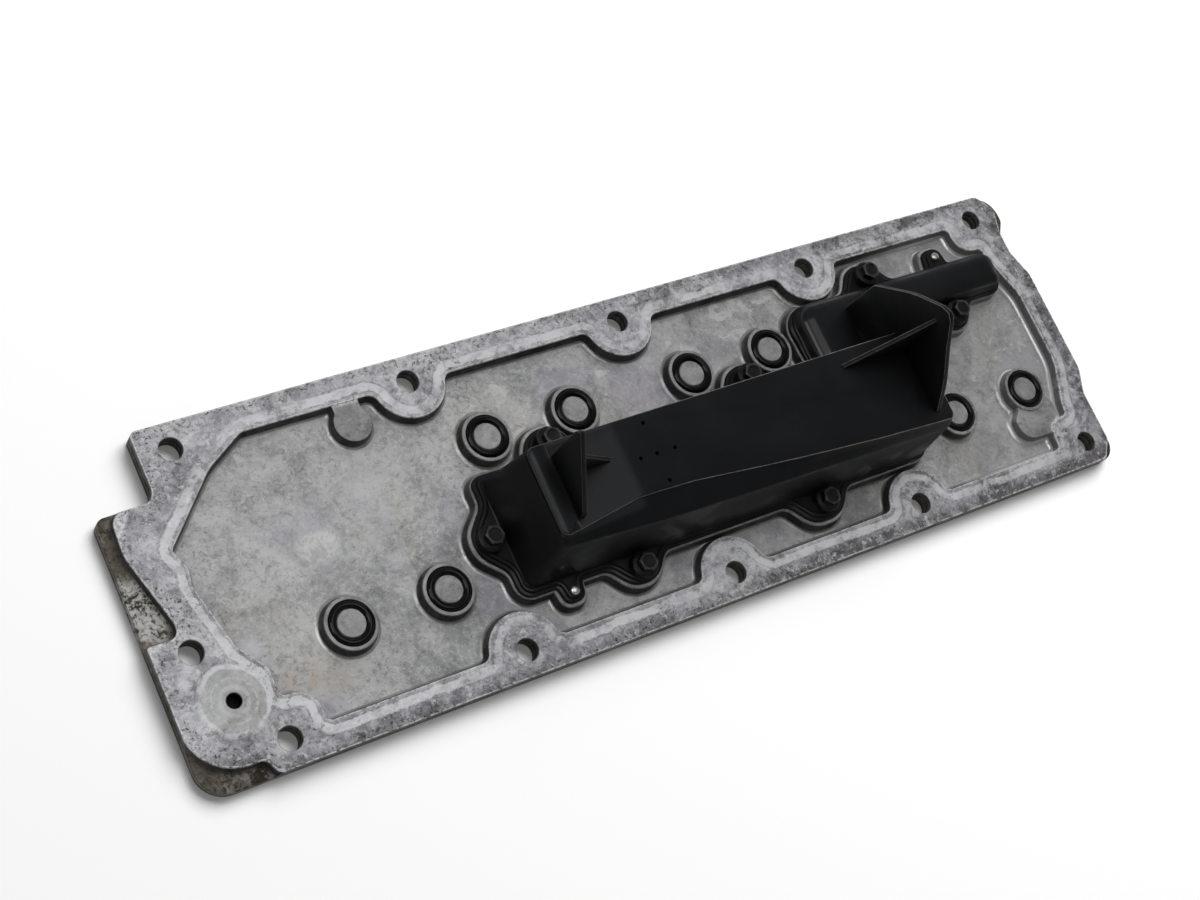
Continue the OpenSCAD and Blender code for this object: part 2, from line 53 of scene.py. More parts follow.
camera = linked("Camera", bpy.data.cameras.new("Camera"))
camera.data.sensor_width = 36
camera.data.lens = 60.81
camera.data.clip_end = 50
view_right = Vector((0.827452, -0.411830, 0.381733))
view_down = Vector((-0.266814, -0.886504, -0.378049))
view_ahead = Vector((0.494099, 0.210966, -0.843421))
turn = Matrix((view_right, -view_down, -view_ahead)).transposed()
camera.matrix_world = Matrix.Translation((-0.48037, -0.18423, 0.78033)) @ turn.to_4x4()
bpy.context.scene.camera = camera


# The sheet and the lights.
# A white sheet that glows far from the cover, and a low white backdrop all round, in a dim
# studio. A large soft box at the back right lights the cover and throws its shadow to the
# left. Two white cards, overhead and on the left, show only as reflections.

class Term:
    """A number in a shader tree. Its operators add the Math nodes."""

    def __init__(self, finish, socket):
        self.finish, self.socket = finish, socket

    def math(self, operation, *others, clamp=False):
        settings = {"operation": operation, "use_clamp": clamp}
        return self.finish.node("ShaderNodeMath", settings, dict(enumerate([self, *others])))

    def __add__(self, other): return self.math("ADD", other)
    def __radd__(self, other): return self.math("ADD", other)
    def __sub__(self, other): return self.math("SUBTRACT", other)
    def __rsub__(self, other): return (self * -1).math("ADD", other)
    def __mul__(self, other): return self.math("MULTIPLY", other)
    def __truediv__(self, other): return self.math("DIVIDE", other)
    def __pow__(self, other): return self.math("POWER", other)
    def clamped(self): return self.math("ADD", 0, clamp=True)

    def ramp(self, low, high):
        """0 below low, 1 above high, and smooth between them."""
        values = {"Value": self, "From Min": low, "From Max": high}
        return self.finish.node("ShaderNodeMapRange", {"interpolation_type": "SMOOTHSTEP"}, values)

    def band(self, low, high, soft):
        """1 between low and high, with soft sides."""
        return self.ramp(low - soft, low + soft) * (1 - self.ramp(high - soft, high + soft))

    def out(self, name):
        return Term(self.finish, self.socket.node.outputs[name])


class Finish:
    """A material that is built node by node."""

    def __init__(self, name, tree=None):
        if tree is None:
            self.material = bpy.data.materials.new(name)
            self.material.use_nodes = True
            tree = self.material.node_tree
        self.tree = tree
        tree.nodes.clear()

    def node(self, kind, settings={}, values={}):
        made = self.tree.nodes.new(kind)
        for key, value in settings.items():
            setattr(made, key, value)
        for key, value in values.items():
            socket = made.inputs[key]
            if isinstance(value, Term):
                self.tree.links.new(value.socket, socket)
            else:
                socket.default_value = value
        shown = [socket for socket in made.outputs if socket.enabled]
        return Term(self, shown[0]) if shown else None

    def blend(self, factor, a, b):
        """Colour a where factor is 0, and b where it is 1."""
        a, b = [(*c, 1) if isinstance(c, tuple) else c for c in (a, b)]
        return self.node("ShaderNodeMix", {"data_type": "RGBA"}, {0: factor, 6: a, 7: b})

    def layered(self, color, *layers):
        """The colour under layers of (factor, colour), each over the ones before."""
        for factor, over in layers:
            color = self.blend(factor, color, over)
        return color

    def place(self):
        return self.node("ShaderNodeTexCoord").out("Object")

    def axes(self, place=None):
        split = self.node("ShaderNodeSeparateXYZ", {}, {0: place or self.place()})
        return split.out("X"), split.out("Y"), split.out("Z")

    def millimetres(self):
        """The place in millimetres, with X from the first bolt."""
        x, y, z = self.axes()
        return x * 1000 - shift, y * 1000, z * 1000

    def seen(self):
        """1 for camera, mirror and glass rays, which are to find a white backdrop."""
        rays = self.node("ShaderNodeLightPath")
        return (rays + rays.out("Is Glossy Ray") + rays.out("Is Transmission Ray")).clamped()

    def noise(self, per_metre, detail=3.0, rough=0.5, warp=0.0, stretch=(1, 1, 1), at=(0, 0, 0)):
        """Cloudy noise from 0 to 1, with about per_metre clouds in a metre."""
        spot = self.node("ShaderNodeMapping", {}, {"Vector": self.place(), "Scale": stretch,
                                                   "Location": at})
        values = {"Vector": spot, "Scale": per_metre, "Detail": detail, "Roughness": rough,
                  "Distortion": warp}
        return self.node("ShaderNodeTexNoise", {}, values)

    def mark(self, name):
        """A number that the mesh carries on its points."""
        return self.node("ShaderNodeAttribute", {"attribute_name": name}).out("Fac")

    def bump(self, height, depth):
        values = {"Height": height, "Distance": depth, "Strength": 1.0}
        return self.node("ShaderNodeBump", {}, values)

    def surface(self, **sockets):
        names = {"color": "Base Color", "rough": "Roughness", "metal": "Metallic",
                 "normal": "Normal", "coat": "Coat Weight", "coat_rough": "Coat Roughness",
                 "specular": "Specular IOR Level"}
        skin = self.node("ShaderNodeBsdfPrincipled", {},
                         {names[key]: value for key, value in sockets.items()})
        self.node("ShaderNodeOutputMaterial", {}, {"Surface": skin})
        return self.material


def length(a, b):
    return (a * a + b * b) ** 0.5


sheet_mesh = bpy.data.meshes.new("white_sheet")
sheet_mesh.from_pydata([(-4, -4, 0), (4, -4, 0), (4, 4, 0), (-4, 4, 0)], [], [(0, 1, 2, 3)])
sheet = linked("white_sheet", sheet_mesh)
white = Finish("sheet white")
across, along_y, _ = white.axes()
strength = white.seen() * (0.085 + length(across, along_y).ramp(0.5, 2.4) * 0.8)
paper = white.node("ShaderNodeBsdfDiffuse", {}, {"Color": (0.88, 0.88, 0.88, 1)})
glow = white.node("ShaderNodeEmission", {}, {"Color": (1, 1, 1, 1), "Strength": strength})
both = white.node("ShaderNodeAddShader", {}, {0: paper, 1: glow})
white.node("ShaderNodeOutputMaterial", {}, {"Surface": both})
sheet_mesh.materials.append(white.material)

world = bpy.data.worlds.new("Studio")
bpy.context.scene.world = world
world.use_nodes = True
air = Finish("", world.node_tree)
_, _, upward = air.axes(air.node("ShaderNodeTexCoord").out("Generated"))
strength = 0.16 + air.seen() * (1 - upward.ramp(0.14, 0.26)) * 0.84
sky = air.node("ShaderNodeBackground", {}, {"Color": (1, 1, 1, 1), "Strength": strength})
air.node("ShaderNodeOutputWorld", {}, {"Surface": sky})


def soft_box(name, place, size, watts, use):
    """A square lamp that faces the cover. It only lights it, or only shows in it."""
    lamp = bpy.data.lights.new(name, "AREA")
    lamp.shape, lamp.size, lamp.energy = "SQUARE", size, watts
    box = linked(name, lamp)
    aim = (-Vector(place)).to_track_quat("-Z", "Y")
    box.matrix_world = Matrix.Translation(place) @ aim.to_matrix().to_4x4()
    box.visible_glossy, box.visible_diffuse = use == "show", use == "light"


soft_box("Soft box", (1.15, 1.15, 2.1), 2.2, 101, "light")
soft_box("High card", (0.02, 0.12, 1.9), 1.3, 10.5, "show")
soft_box("Left card", (-1.19, 0.36, 1.3), 0.9, 11, "show")

bpy.context.scene.view_settings.view_transform = "Standard"


# The cover casting.
# One die-cast aluminium plate: a rim with a machined gasket face and lobes round
# the bolts, a sunk pocket, eight oil plug bosses, and a raised land for the housing.

plate_length, plate_width, flange_top = 509, 153.6, 9.0
floor_top, shelf_top = 3.0, 5.5
bolt_pitch, bolt_y, bolt_r = 111.76, 65.0, 5.2
first_bolt = 40.4
last_bolt = 4 * bolt_pitch
left_end, right_end_x, half_width = -first_bolt, plate_length - first_bolt, plate_width / 2
pocket_y = half_width - 12.9
end_bolt, oil_passage, oil_r = (-24.2, -18.9), (-15.5, -43.0), 3.3
blind_pad, blind_r, neck_half = (80.0, 54.0), 8.6, 6.25
plugs = [(middle + side * 23.3, row) for middle, row in
         ((66.5, -28.9), (159.8, 30.4), (271.9, 30.4), (403.7, -28.9)) for side in (-1, 1)]
vent, vent_r = (428.0, 35.0), 6.0
holes = [((k * bolt_pitch, side * bolt_y), bolt_r) for k in range(5) for side in (-1, 1)]
holes += [(end_bolt, bolt_r), (oil_passage, oil_r), (vent, vent_r)]
shift = first_bolt - plate_length / 2


def rounded(points):
    """Rounded corners (centre x and y, radius, first angle, sweep) of [x, y, radius] points."""
    made = []
    for i, (bx, by, r) in enumerate(points):
        (ax, ay, _), (cx, cy, _) = points[i - 1], points[(i + 1) % len(points)]
        e, g = Vector((bx - ax, by - ay)).normalized(), Vector((cx - bx, cy - by)).normalized()
        n1, n2 = Vector((e.y, -e.x)), Vector((g.y, -g.x))
        side = -1 if e.x * g.y - e.y * g.x < 0 else 1
        sweep = side * acos(max(-1, min(1, e.dot(g))))
        mid = Vector((bx, by)) - side * r * (n1 + n2) / (1 + n1.dot(n2))
        made.append((mid.x, mid.y, r, atan2(side * n1.y, side * n1.x), sweep))
    return made


def arc_points(arc, steps=6):
    cx, cy, r, start, sweep = arc
    return [(cx + r * cos(start + sweep * k / steps), cy + r * sin(start + sweep * k / steps))
            for k in range(steps + 1)]


def traced(arcs, grow=0.0, bend=7.5, reach=1e9):
    """Points along the outline, moved outwards by grow, at most reach apart."""
    points = []
    for cx, cy, radius, start, sweep in arcs:
        side = -1 if sweep < 0 else 1
        r = max(0.15, radius + side * grow)
        lag = (side * grow + radius - r) / cos(sweep / 2)
        mx, my = cx + lag * cos(start + sweep / 2), cy + lag * sin(start + sweep / 2)
        steps = max(1, ceil(abs(degrees(sweep)) / bend))
        points += arc_points((mx, my, r, start, sweep), steps)
    kept = []
    for i, (x, y) in enumerate(points):
        px, py = points[i - 1]
        gap = hypot(x - px, y - py)
        if gap < 1e-4:
            continue
        parts = max(1, ceil(gap / reach))
        kept += [(px + (x - px) * k / parts, py + (y - py) * k / parts) for k in range(1, parts)]
        kept.append((x, y))
    return np.array(kept)


def gap_to(arcs, x, y):
    """Signed distance from the outline: above 0 outside it."""
    best = np.full(x.shape, 1e9)
    signed = np.full(x.shape, 1e9)
    ends = []
    for cx, cy, r, start, sweep in arcs:
        side = -1 if sweep < 0 else 1
        dx, dy = x - cx, y - cy
        away = np.hypot(dx, dy)
        middle = start + sweep / 2
        off = np.abs((np.arctan2(dy, dx) - middle + np.pi) % (2 * np.pi) - np.pi)
        value = side * (away - r)
        ok = (off <= abs(sweep) / 2 + 1e-6) & (np.abs(value) < best)
        best, signed = np.where(ok, np.abs(value), best), np.where(ok, value, signed)
        ends.append(((cx + r * cos(start), cy + r * sin(start)),
                     (cx + r * cos(start + sweep), cy + r * sin(start + sweep))))
    for i in range(len(arcs)):
        (ax, ay), (bx, by) = ends[i - 1][1], ends[i][0]
        length = hypot(bx - ax, by - ay)
        if length < 1e-6:
            continue
        ux, uy = (bx - ax) / length, (by - ay) / length
        along = np.clip((x - ax) * ux + (y - ay) * uy, 0, length)
        dx, dy = x - ax - along * ux, y - ay - along * uy
        value = np.hypot(dx, dy)
        ok = value < best - 1e-9
        best = np.where(ok, value, best)
        signed = np.where(ok, np.where(dx * uy - dy * ux > 0, value, -value), signed)
    return signed


def rim_lobe(x, turned=False):
    """Fillet, lobe and fillet of the rim round a bolt of the back row."""
    r, fillet = 17.3, 5.0
    drop = pocket_y - fillet - bolt_y
    reach = sqrt((r + fillet) ** 2 - drop * drop)
    tilt = atan2(-drop, reach)
    half = np.pi / 2
    lobe = [(x + reach, bolt_y + drop, fillet, half, half - tilt),
            (x, bolt_y, r, -tilt, 2 * tilt - np.pi),
            (x - reach, bolt_y + drop, fillet, tilt, half - tilt)]
    return [(-a, -b, c, d + np.pi, e) for a, b, c, d, e in lobe] if turned else lobe


def lug(mid, edge, tip, foot, top, r, back=False):
    """A round screw lug on an edge, going along +X, or along -X at the back."""
    points = [(mid - foot, edge, 8), (mid - top, tip, r), (mid + top, tip, r),
              (mid + foot, edge, 8)]
    return points[::-1] if back else points


end_step, end_mid = right_end_x - 7.6, right_end_x - 2.6
right_side = [(end_step, -41, 6), (end_mid, -28, 8), (end_mid, 28, 8), (end_step, 42, 6)]
lower_layer = rounded(
    [(left_end, -half_width, 13), (end_step + 2.6, -half_width, 9), (end_step + 2.6, -64, 5),
     (end_step, -57, 5)] + right_side +
    [(end_step, 50, 4), (right_end_x, 61, 6), (right_end_x, half_width, 12),
     (-14.2, half_width, 3), (-14.2, 46, 5), (left_end, 46, 4.5)])
gasket_pad = rounded(
    [(left_end, -69.3, 21.5), (-12.4, -69.3, 4), (-9.2, -half_width, 5),
     (end_step - 7, -half_width, 4), (end_step, -67.5, 4)] + right_side +
    [(end_step, 54, 5), (end_step + 3.6, 67, 6), (end_step - 3.5, half_width, 6),
     (-14.2, half_width, 3), (-14.2, 45.5, 5), (-34, 45.5, 6.5), (-35, 27, 22), (-26, -5.5, 6),
     (-26.4, -11.5, 4.2), (left_end, -11.5, 1.5)])
corners = rounded(
    [(2.9, -47.6, 2.5), (17.2, -48.6, 10), (17.2, -pocket_y, 3),
     (last_bolt - 17.4, -pocket_y, 3), (last_bolt - 16.6, -49, 10),
     (last_bolt - 3.6, -48.4, 2.5), (last_bolt - 2.2, -41, 4), (last_bolt + 6.2, -20, 25),
     (last_bolt + 6.2, 20, 25), (last_bolt - 1.8, 41, 4), (last_bolt - 3.2, 48.8, 2.5),
     (last_bolt - 16.8, 49.4, 10), (last_bolt - 17.4, pocket_y, 3),
     (31, pocket_y, 6), (12, 52.4, 25), (-16, 23.5, 3), (-12.2, 14.5, 3), (-13.7, 7, 4),
     (-6.3, -22.5, 4), (2.8, -35, 6)])
pocket = corners[:3] + sum([rim_lobe(-k * bolt_pitch, True) for k in (1, 2, 3)], []) \
    + corners[3:13] + sum([rim_lobe(k * bolt_pitch) for k in (3, 2, 1)], []) + corners[13:]


def flange_form(relief=0.0):
    """Outline of the housing's flange. A relief draws the edges in between the lugs."""
    left, right, front, back = 118.4 + relief, 352 - relief, -44.8 + relief, 14 - relief
    far_front, far_right, far_back = 23.5 + relief, 443 - relief, 46 - relief
    ledge_x = 308.8 + relief
    return rounded(
        [(left, back, 5), (left, 1, 8), (108.4, -9.8, 11), (108.4, -20.2, 11), (left, -31, 8),
         (left, front, 7), (136.2, front, 1.5), (137.6, -53, 4.2), (147.2, -53, 4.2),
         (148.8, front, 1.5)]
        + lug(178.3, front, -55.6, 15.5, 6.2, 12) + lug(281.6, front, -57.2, 18, 8, 13)
        + [(right, front, 8), (right, 12, 8), (right + 12, far_front, 8)]
        + lug(405.5, far_front, 11, 14, 5.6, 10)
        + [(far_right, far_front, 7), (far_right, far_back, 7), (417.6, far_back, 2),
           (415.8, 55.4, 4.6), (405, 55.4, 4.6), (403.2, far_back, 2)]
        + lug(364, far_back, 58, 15.5, 7, 10, back=True)
        + [(ledge_x, far_back, 12), (ledge_x + 2, back, 4)]
        + lug(273.2, back, 26.7, 15.5, 7, 11.5, back=True)
        + lug(160.8, back, 26.2, 14.5, 7, 11.5, back=True))


flange_edge, land_edge = flange_form(), flange_form(0.9)
end_pad = rounded([(421, -30, 3), (416.4, -39, 4), (412.6, -42.5, 4), (412.4, -54, 8),
                   (439.5, -54.6, 9), (439.6, -38, 6), (430, -30, 3)])

# Each wall is a list of (distance from its outline, height)
pocket_wall = [(-2.9, 3.0), (-2.2, 3.08), (-1.6, 3.4), (-1.15, 4.0), (-0.8, 5.0),
               (-0.3, 7.6), (-0.05, 8.75), (0.2, 9.0)]
rim_wall = [(-0.25, 9.0), (0.0, 8.8), (0.4, 7.4), (0.7, 6.4), (1.1, 5.8), (1.6, 5.56),
            (2.3, 5.5)]
shelf_edge = [(-1.3, 0.0), (-0.7, 0.12), (-0.25, 0.45), (0.0, 0.9)]
land_wall = [(0.8, 9.0), (1.3, 8.9), (1.65, 8.5), (1.85, 7.8), (2.15, 5.4), (2.5, 4.3),
             (3.1, 3.45), (3.9, 3.08), (4.8, 3.0)]
plug_wall = [(6.0, 9.0), (6.38, 8.65), (6.42, 6.3), (10.25, 6.3), (10.3, 8.9), (10.45, 9.0),
             (11.45, 9.0), (11.75, 8.85), (11.92, 8.4), (12.1, 6.0), (12.5, 4.7), (13.1, 3.8),
             (13.9, 3.2), (14.8, 3.0)]
plug_groove = [(2.5, 0), (2.8, 0.06), (3.2, 0.06), (3.5, 0)]
pad_wall = [(-0.7, 8.4), (-0.15, 8.2), (0.25, 7.6), (0.7, 5.4), (1.2, 4.2), (2.0, 3.35),
            (3.0, 3.0)]
blind_wall = [(-0.5, 8.5), (-0.1, 8.35), (0.15, 8.0), (0.5, 5.4), (1.0, 4.1), (1.8, 3.3),
              (2.8, 3.0)]
hole_break = 0.35


def firsts(wall):
    return [step[0] for step in wall]


def along(wall, gap):
    return np.interp(gap, firsts(wall), [step[1] for step in wall])


def joined(a, b, blend=1.6):
    """The higher of two heights, with a fillet where both stand above the floor."""
    reach = np.clip(np.minimum(a, b) - floor_top, 1e-6, blend)
    near = np.clip(reach - np.abs(a - b), 0, None) / reach
    return np.maximum(a, b) + reach / 4 * near ** 2


def blind_gap(x, y):
    disc = np.hypot(x - blind_pad[0], y - blind_pad[1]) - blind_r
    neck = np.maximum(np.abs(x - blind_pad[0]) - neck_half, blind_pad[1] - y)
    return np.minimum(disc, neck)


def casting_height(x, y):
    """Height of the casting's gasket side over its outer face."""
    rim = np.maximum(along(rim_wall, gap_to(gasket_pad, x, y)),
                     shelf_top - along(shelf_edge, gap_to(lower_layer, x, y)))
    top = np.minimum(rim, along(pocket_wall, gap_to(pocket, x, y)))
    raised = joined(along(land_wall, gap_to(land_edge, x, y)),
                    along(pad_wall, gap_to(end_pad, x, y)))
    top = joined(joined(top, raised), along(blind_wall, blind_gap(x, y)))
    for px, py in plugs:
        away = np.hypot(x - px, y - py)
        boss = along(plug_wall, away)
        top = np.where(away < 11, boss, joined(top, boss, 1.2)) - along(plug_groove, away)
    for (hx, hy), r in holes:
        top = top - np.interp(np.hypot(x - hx, y - hy), (r, r + hole_break), (0.25, 0))
    return np.minimum(top, flange_top)


def round_points(middle, r, count):
    turns = np.arange(count) * 2 * np.pi / count
    return np.stack([middle[0] + r * np.cos(turns), middle[1] + r * np.sin(turns)], 1)


def level(points, z):
    return np.column_stack([points, np.full(len(points), z)])


class Sketch:
    """Lines in a plane that are filled with triangles."""

    def __init__(self):
        self.points, self.edges = [], []

    def line(self, points, closed=True, keep=None):
        points = np.asarray(points)
        first = len(self.points)
        last = len(points) if closed else len(points) - 1
        self.points += [tuple(p) for p in points]
        nexts = [(i, (i + 1) % len(points)) for i in range(last)]
        if keep is not None:
            mids = np.array([(points[a] + points[b]) / 2 for a, b in nexts])
            nexts = [pair for pair, ok in zip(nexts, keep(mids[:, 0], mids[:, 1])) if ok]
        self.edges += [(first + a, first + b) for a, b in nexts]

    def circle(self, middle, r, count=48):
        self.line(round_points(middle, r, count))

    def filled(self, inside):
        """Points and triangles, of which only those whose middle is inside are kept."""
        made = delaunay_2d_cdt([Vector(p) for p in self.points], self.edges, [], 0, 1e-7)
        points = np.array([tuple(p) for p in made[0]])
        faces = np.array([list(f) for f in made[2] if len(f) == 3])
        mids = points[faces].mean(1)
        faces = faces[inside(mids[:, 0], mids[:, 1])]
        a, b, c = (points[faces[:, k]] for k in range(3))
        ab, ac = b - a, c - a
        flipped = ab[:, 0] * ac[:, 1] < ab[:, 1] * ac[:, 0]
        faces[flipped] = faces[flipped][:, ::-1]
        used = np.unique(faces)
        return points[used], np.searchsorted(used, faces)


class Body:
    """Vertices and faces of one piece, in millimetres, with numbers on its points."""

    def __init__(self, *marks):
        self.points, self.faces, self.marks = [], [], {name: [] for name in marks}

    def add(self, points, faces, **marks):
        first = len(self.points)
        self.points += [tuple(p) for p in points]
        self.faces += [[first + int(i) for i in face] for face in faces]
        for name, values in self.marks.items():
            values += map(float, np.broadcast_to(marks.get(name, 0), len(points)))

    def made(self, name, finish, sharp, start=0):
        """The piece as an object, with edges over sharp degrees kept, and X from start."""
        mesh = bpy.data.meshes.new(name)
        mesh.from_pydata([((x + start) / 1000, y / 1000, z / 1000) for x, y, z in self.points],
                         [], self.faces)
        for mark, values in self.marks.items():
            mesh.attributes.new(mark, "FLOAT", "POINT").data.foreach_set("value", values)
        piece = linked(name, mesh)
        piece.modifiers.new("Weld", "WELD").merge_threshold = 1e-6
        flat = applied(piece)
        flat.shade_smooth()
        flat.set_sharp_from_angle(angle=radians(sharp))
        flat.materials.clear()
        flat.materials.append(finish)
        return piece


def applied(piece):
    """Gives the piece the mesh that its modifiers make, without them."""
    bpy.context.view_layer.update()
    ready = piece.evaluated_get(bpy.context.evaluated_depsgraph_get())
    mesh = bpy.data.meshes.new_from_object(ready)
    piece.modifiers.clear()
    piece.data = mesh
    mesh.name = piece.name
    return mesh


def skin(n, rows):
    """The faces between rows of n points that follow each other."""
    return [(k * n + i, k * n + (i + 1) % n, (k + 1) * n + (i + 1) % n, (k + 1) * n + i)
            for k in range(rows - 1) for i in range(n)]


def plate_part(x, y):
    """True where the casting has metal."""
    ok = gap_to(lower_layer, x, y) < 0
    for (hx, hy), r in holes:
        ok &= np.hypot(x - hx, y - hy) > r * 0.995
    return ok


def well_inside(x, y):
    return gap_to(lower_layer, x, y) < -0.05


plan = Sketch()
for outline, grows, reach, keep in (
        (lower_layer, [0] + firsts(shelf_edge[:-1]), 8, None),
        (gasket_pad, firsts(rim_wall), 8, well_inside),
        (pocket, firsts(pocket_wall) + [1.2, 2.2, 4.2, 6.2, 8.0], 8, None),
        (land_edge, firsts(land_wall), 5, None),
        (end_pad, firsts(pad_wall), 4, None)):
    for grow in grows:
        plan.line(traced(outline, grow, reach=reach), keep=keep)
for grow, _ in blind_wall:
    plan.circle(blind_pad, blind_r + grow, 64)
    for side in (-1, 1):
        x = blind_pad[0] + side * (neck_half + grow)
        plan.line([(x, y) for y in np.linspace(blind_pad[1] + 5, pocket_y + 1, 8)], closed=False)
for middle in plugs:
    for r in firsts(plug_wall) + firsts(plug_groove):
        plan.circle(middle, r, 64)
for middle, r in holes:
    plan.circle(middle, r)
    plan.circle(middle, r + hole_break)
for r in (5.0, 8.0, 9.5, 11.7, 13.7, 15.7, 17.5):
    plan.circle(oil_passage, r, 64)

flat_points, top_faces = plan.filled(plate_part)
x, y = flat_points.T
top_points = np.column_stack([x, y, casting_height(x, y)])
oil_gap = np.hypot(x - oil_passage[0], y - oil_passage[1]) - 9.5
casting = Body("track", "rim_edge", "outer")
casting.add(top_points, top_faces, track=np.minimum(gap_to(pocket, x, y), oil_gap),
            rim_edge=gap_to(gasket_pad, x, y))

# The walls round the plate and through its holes, and the outer face with its broken edges
low = 0.6
sides = dict.fromkeys((face[k], face[(k + 1) % 3]) for face in top_faces for k in range(3))
border = [(a, b) for a, b in sides if (b, a) not in sides]
used = sorted({i for pair in border for i in pair})
number = {i: k for k, i in enumerate(used)}
border = [(number[a], number[b]) for a, b in border]
n = len(used)
casting.add(np.concatenate([top_points[used], level(flat_points[used], low)]),
            [(b, a, n + a, n + b) for a, b in border], track=30.0, outer=1.0)
under = Sketch()
under.points, under.edges = [tuple(p) for p in flat_points[used]], border
under.line(traced(lower_layer, -low, reach=20))
for middle, r in holes:
    under.circle(middle, r + low)
    under.circle(middle, r + 6)
under_points, under_faces = under.filled(plate_part)
x, y = under_points.T
edge = gap_to(lower_layer, x, y)
for (hx, hy), r in holes:
    edge = np.maximum(edge, r - np.hypot(x - hx, y - hy))
casting.add(level(under_points, np.interp(edge, (-low, 0), (0, low))), under_faces[:, ::-1],
            track=30.0, outer=1.0)

# A dark disc below the gasket face closes the oil passage, as painted shade deep in the bore
n, shade_disc_r, shade_disc_low, shade_disc_top = 32, 3.28, 1.2, 3.0
shade_disc = round_points(oil_passage, shade_disc_r, n)
casting.add(np.concatenate([level(shade_disc, shade_disc_low), level(shade_disc, shade_disc_top)]),
            skin(n, 2) + [list(range(n))[::-1], list(range(n, 2 * n))], outer=1.0)

# Die-cast aluminium: cloudy grey with pale oxide splashes and brown oil stains, dirt on the low
# shelf, a machined gasket face with dark pits, and the faint track that the old gasket left
alloy = Finish("die-cast aluminium")
sx, sy, sz = alloy.millimetres()


def spot(across, up, radius_x, radius_y, waver, soft):
    """A stain with a wavy edge, 1 inside it."""
    reach = length((sx - across) / radius_x, (sy - up) / radius_y)
    return 1 - (reach + waver).ramp(1 - soft, 1 + soft)


clouds = alloy.noise(13, 6, 0.62, warp=0.5)
patches = alloy.noise(48, 8, 0.7, warp=0.7)
mottle = alloy.noise(150, 7, 0.76, warp=0.4)
fine = alloy.noise(520, 5, 0.78)
grit = alloy.noise(1700, 2, 0.6)
track_mark, rim_mark, outside = alloy.mark("track"), alloy.mark("rim_edge"), alloy.mark("outer")
machined = sz.ramp(8.1, 8.4) * (1 - outside)
shelf = sz.band(4.6, 5.9, 0.2) * track_mark.ramp(1.0, 3.0) * (1 - outside)
walls = sz.ramp(3.5, 4.3) * (1 - machined) * (1 - shelf) * (1 - outside)
fillet_highlight = sz.band(3.1, 3.8, 0.1) * (1 - outside)
around = length(sx - oil_passage[0], sy - oil_passage[1])
raised = machined * (1 - track_mark.ramp(-2.0, -1.0)) * around.ramp(11, 12)

# The pocket floor: soft clouds, freckles, brown and lilac films, a flow mark and splashes, and
# painted shade that darkens it towards the right end
# right grows the brown film on the floor, and painted shade on the gasket face, towards the right
wave, right = (patches - 0.5) * 0.9, sx.ramp(164.1, 414.1)
warm = alloy.noise(20, 5, 0.65, at=(3, 1, 0)).ramp(0.50, 0.64) * patches.ramp(0.40, 0.56)
lilac = alloy.noise(17, 4, 0.6, at=(7, 2, 0)).ramp(0.48, 0.62)
oxide = spot(45, 8, 9, 7, wave * 2.6 + (mottle - 0.5) * 2.2, 0.12)
brown = spot(20, -44, 22, 10, wave * 2.4, 0.5) * mottle.ramp(0.40, 0.56)
splash = alloy.noise(75, 6, 0.7, warp=0.8, at=(2, 5, 1)).ramp(0.585, 0.605)
splash = splash * clouds.ramp(0.44, 0.52) * (1 - spot(70, -30, 150, 90, wave, 0.2))
floor = alloy.layered(
    alloy.blend(clouds.ramp(0.36, 0.60), (0.245, 0.250, 0.250), (0.390, 0.395, 0.391)),
    (patches.ramp(0.48, 0.60) * 0.6, (0.46, 0.465, 0.46)),
    ((1 - patches.ramp(0.38, 0.48)) * 0.35, (0.16, 0.162, 0.163)),
    (mottle.ramp(0.53, 0.60) * 0.4, (0.48, 0.48, 0.475)),
    ((1 - mottle.ramp(0.40, 0.47)) * 0.32, (0.13, 0.13, 0.128)),
    (fine.ramp(0.55, 0.61) * 0.45, (0.56, 0.56, 0.55)),
    ((1 - fine.ramp(0.39, 0.45)) * 0.4, (0.12, 0.12, 0.118)),
    ((warm * (0.2 + right * 0.35)).clamped(), (0.34, 0.29, 0.235)),
    (lilac * 0.4, (0.34, 0.32, 0.38)),
    (spot(75, 14, 7.5, 44, wave, 0.1) * 0.35, (0.47, 0.465, 0.49)),
    (oxide * (0.25 + mottle.ramp(0.42, 0.56) * 0.5), (0.56, 0.57, 0.55)),
    (brown * 0.45, (0.37, 0.29, 0.23)),
    (spot(1, -27, 6, 9, wave * 2, 0.35) * 0.4, (0.52, 0.51, 0.56)),
    (splash * 0.6, (0.58, 0.59, 0.58)),
    # painted shade: the floor darkens towards the right end
    (sx.ramp(134.1, 414.1) * 0.3, (0.12, 0.118, 0.116)))

# The machined gasket face: stains and pits that grow towards the outer edge, most at the front,
# painted shade that darkens it towards the right, the track with dark crust along it, pale
# flakes and edges, and the worn rings round the oil passage
stain = alloy.noise(30, 8, 0.78, warp=0.9, at=(0.5, 0, 0)).ramp(0.45, 0.58)
outer = (rim_mark + (patches - 0.5) * 18).ramp(-9, -1)
front = 1 - sy.ramp(-70, -58)
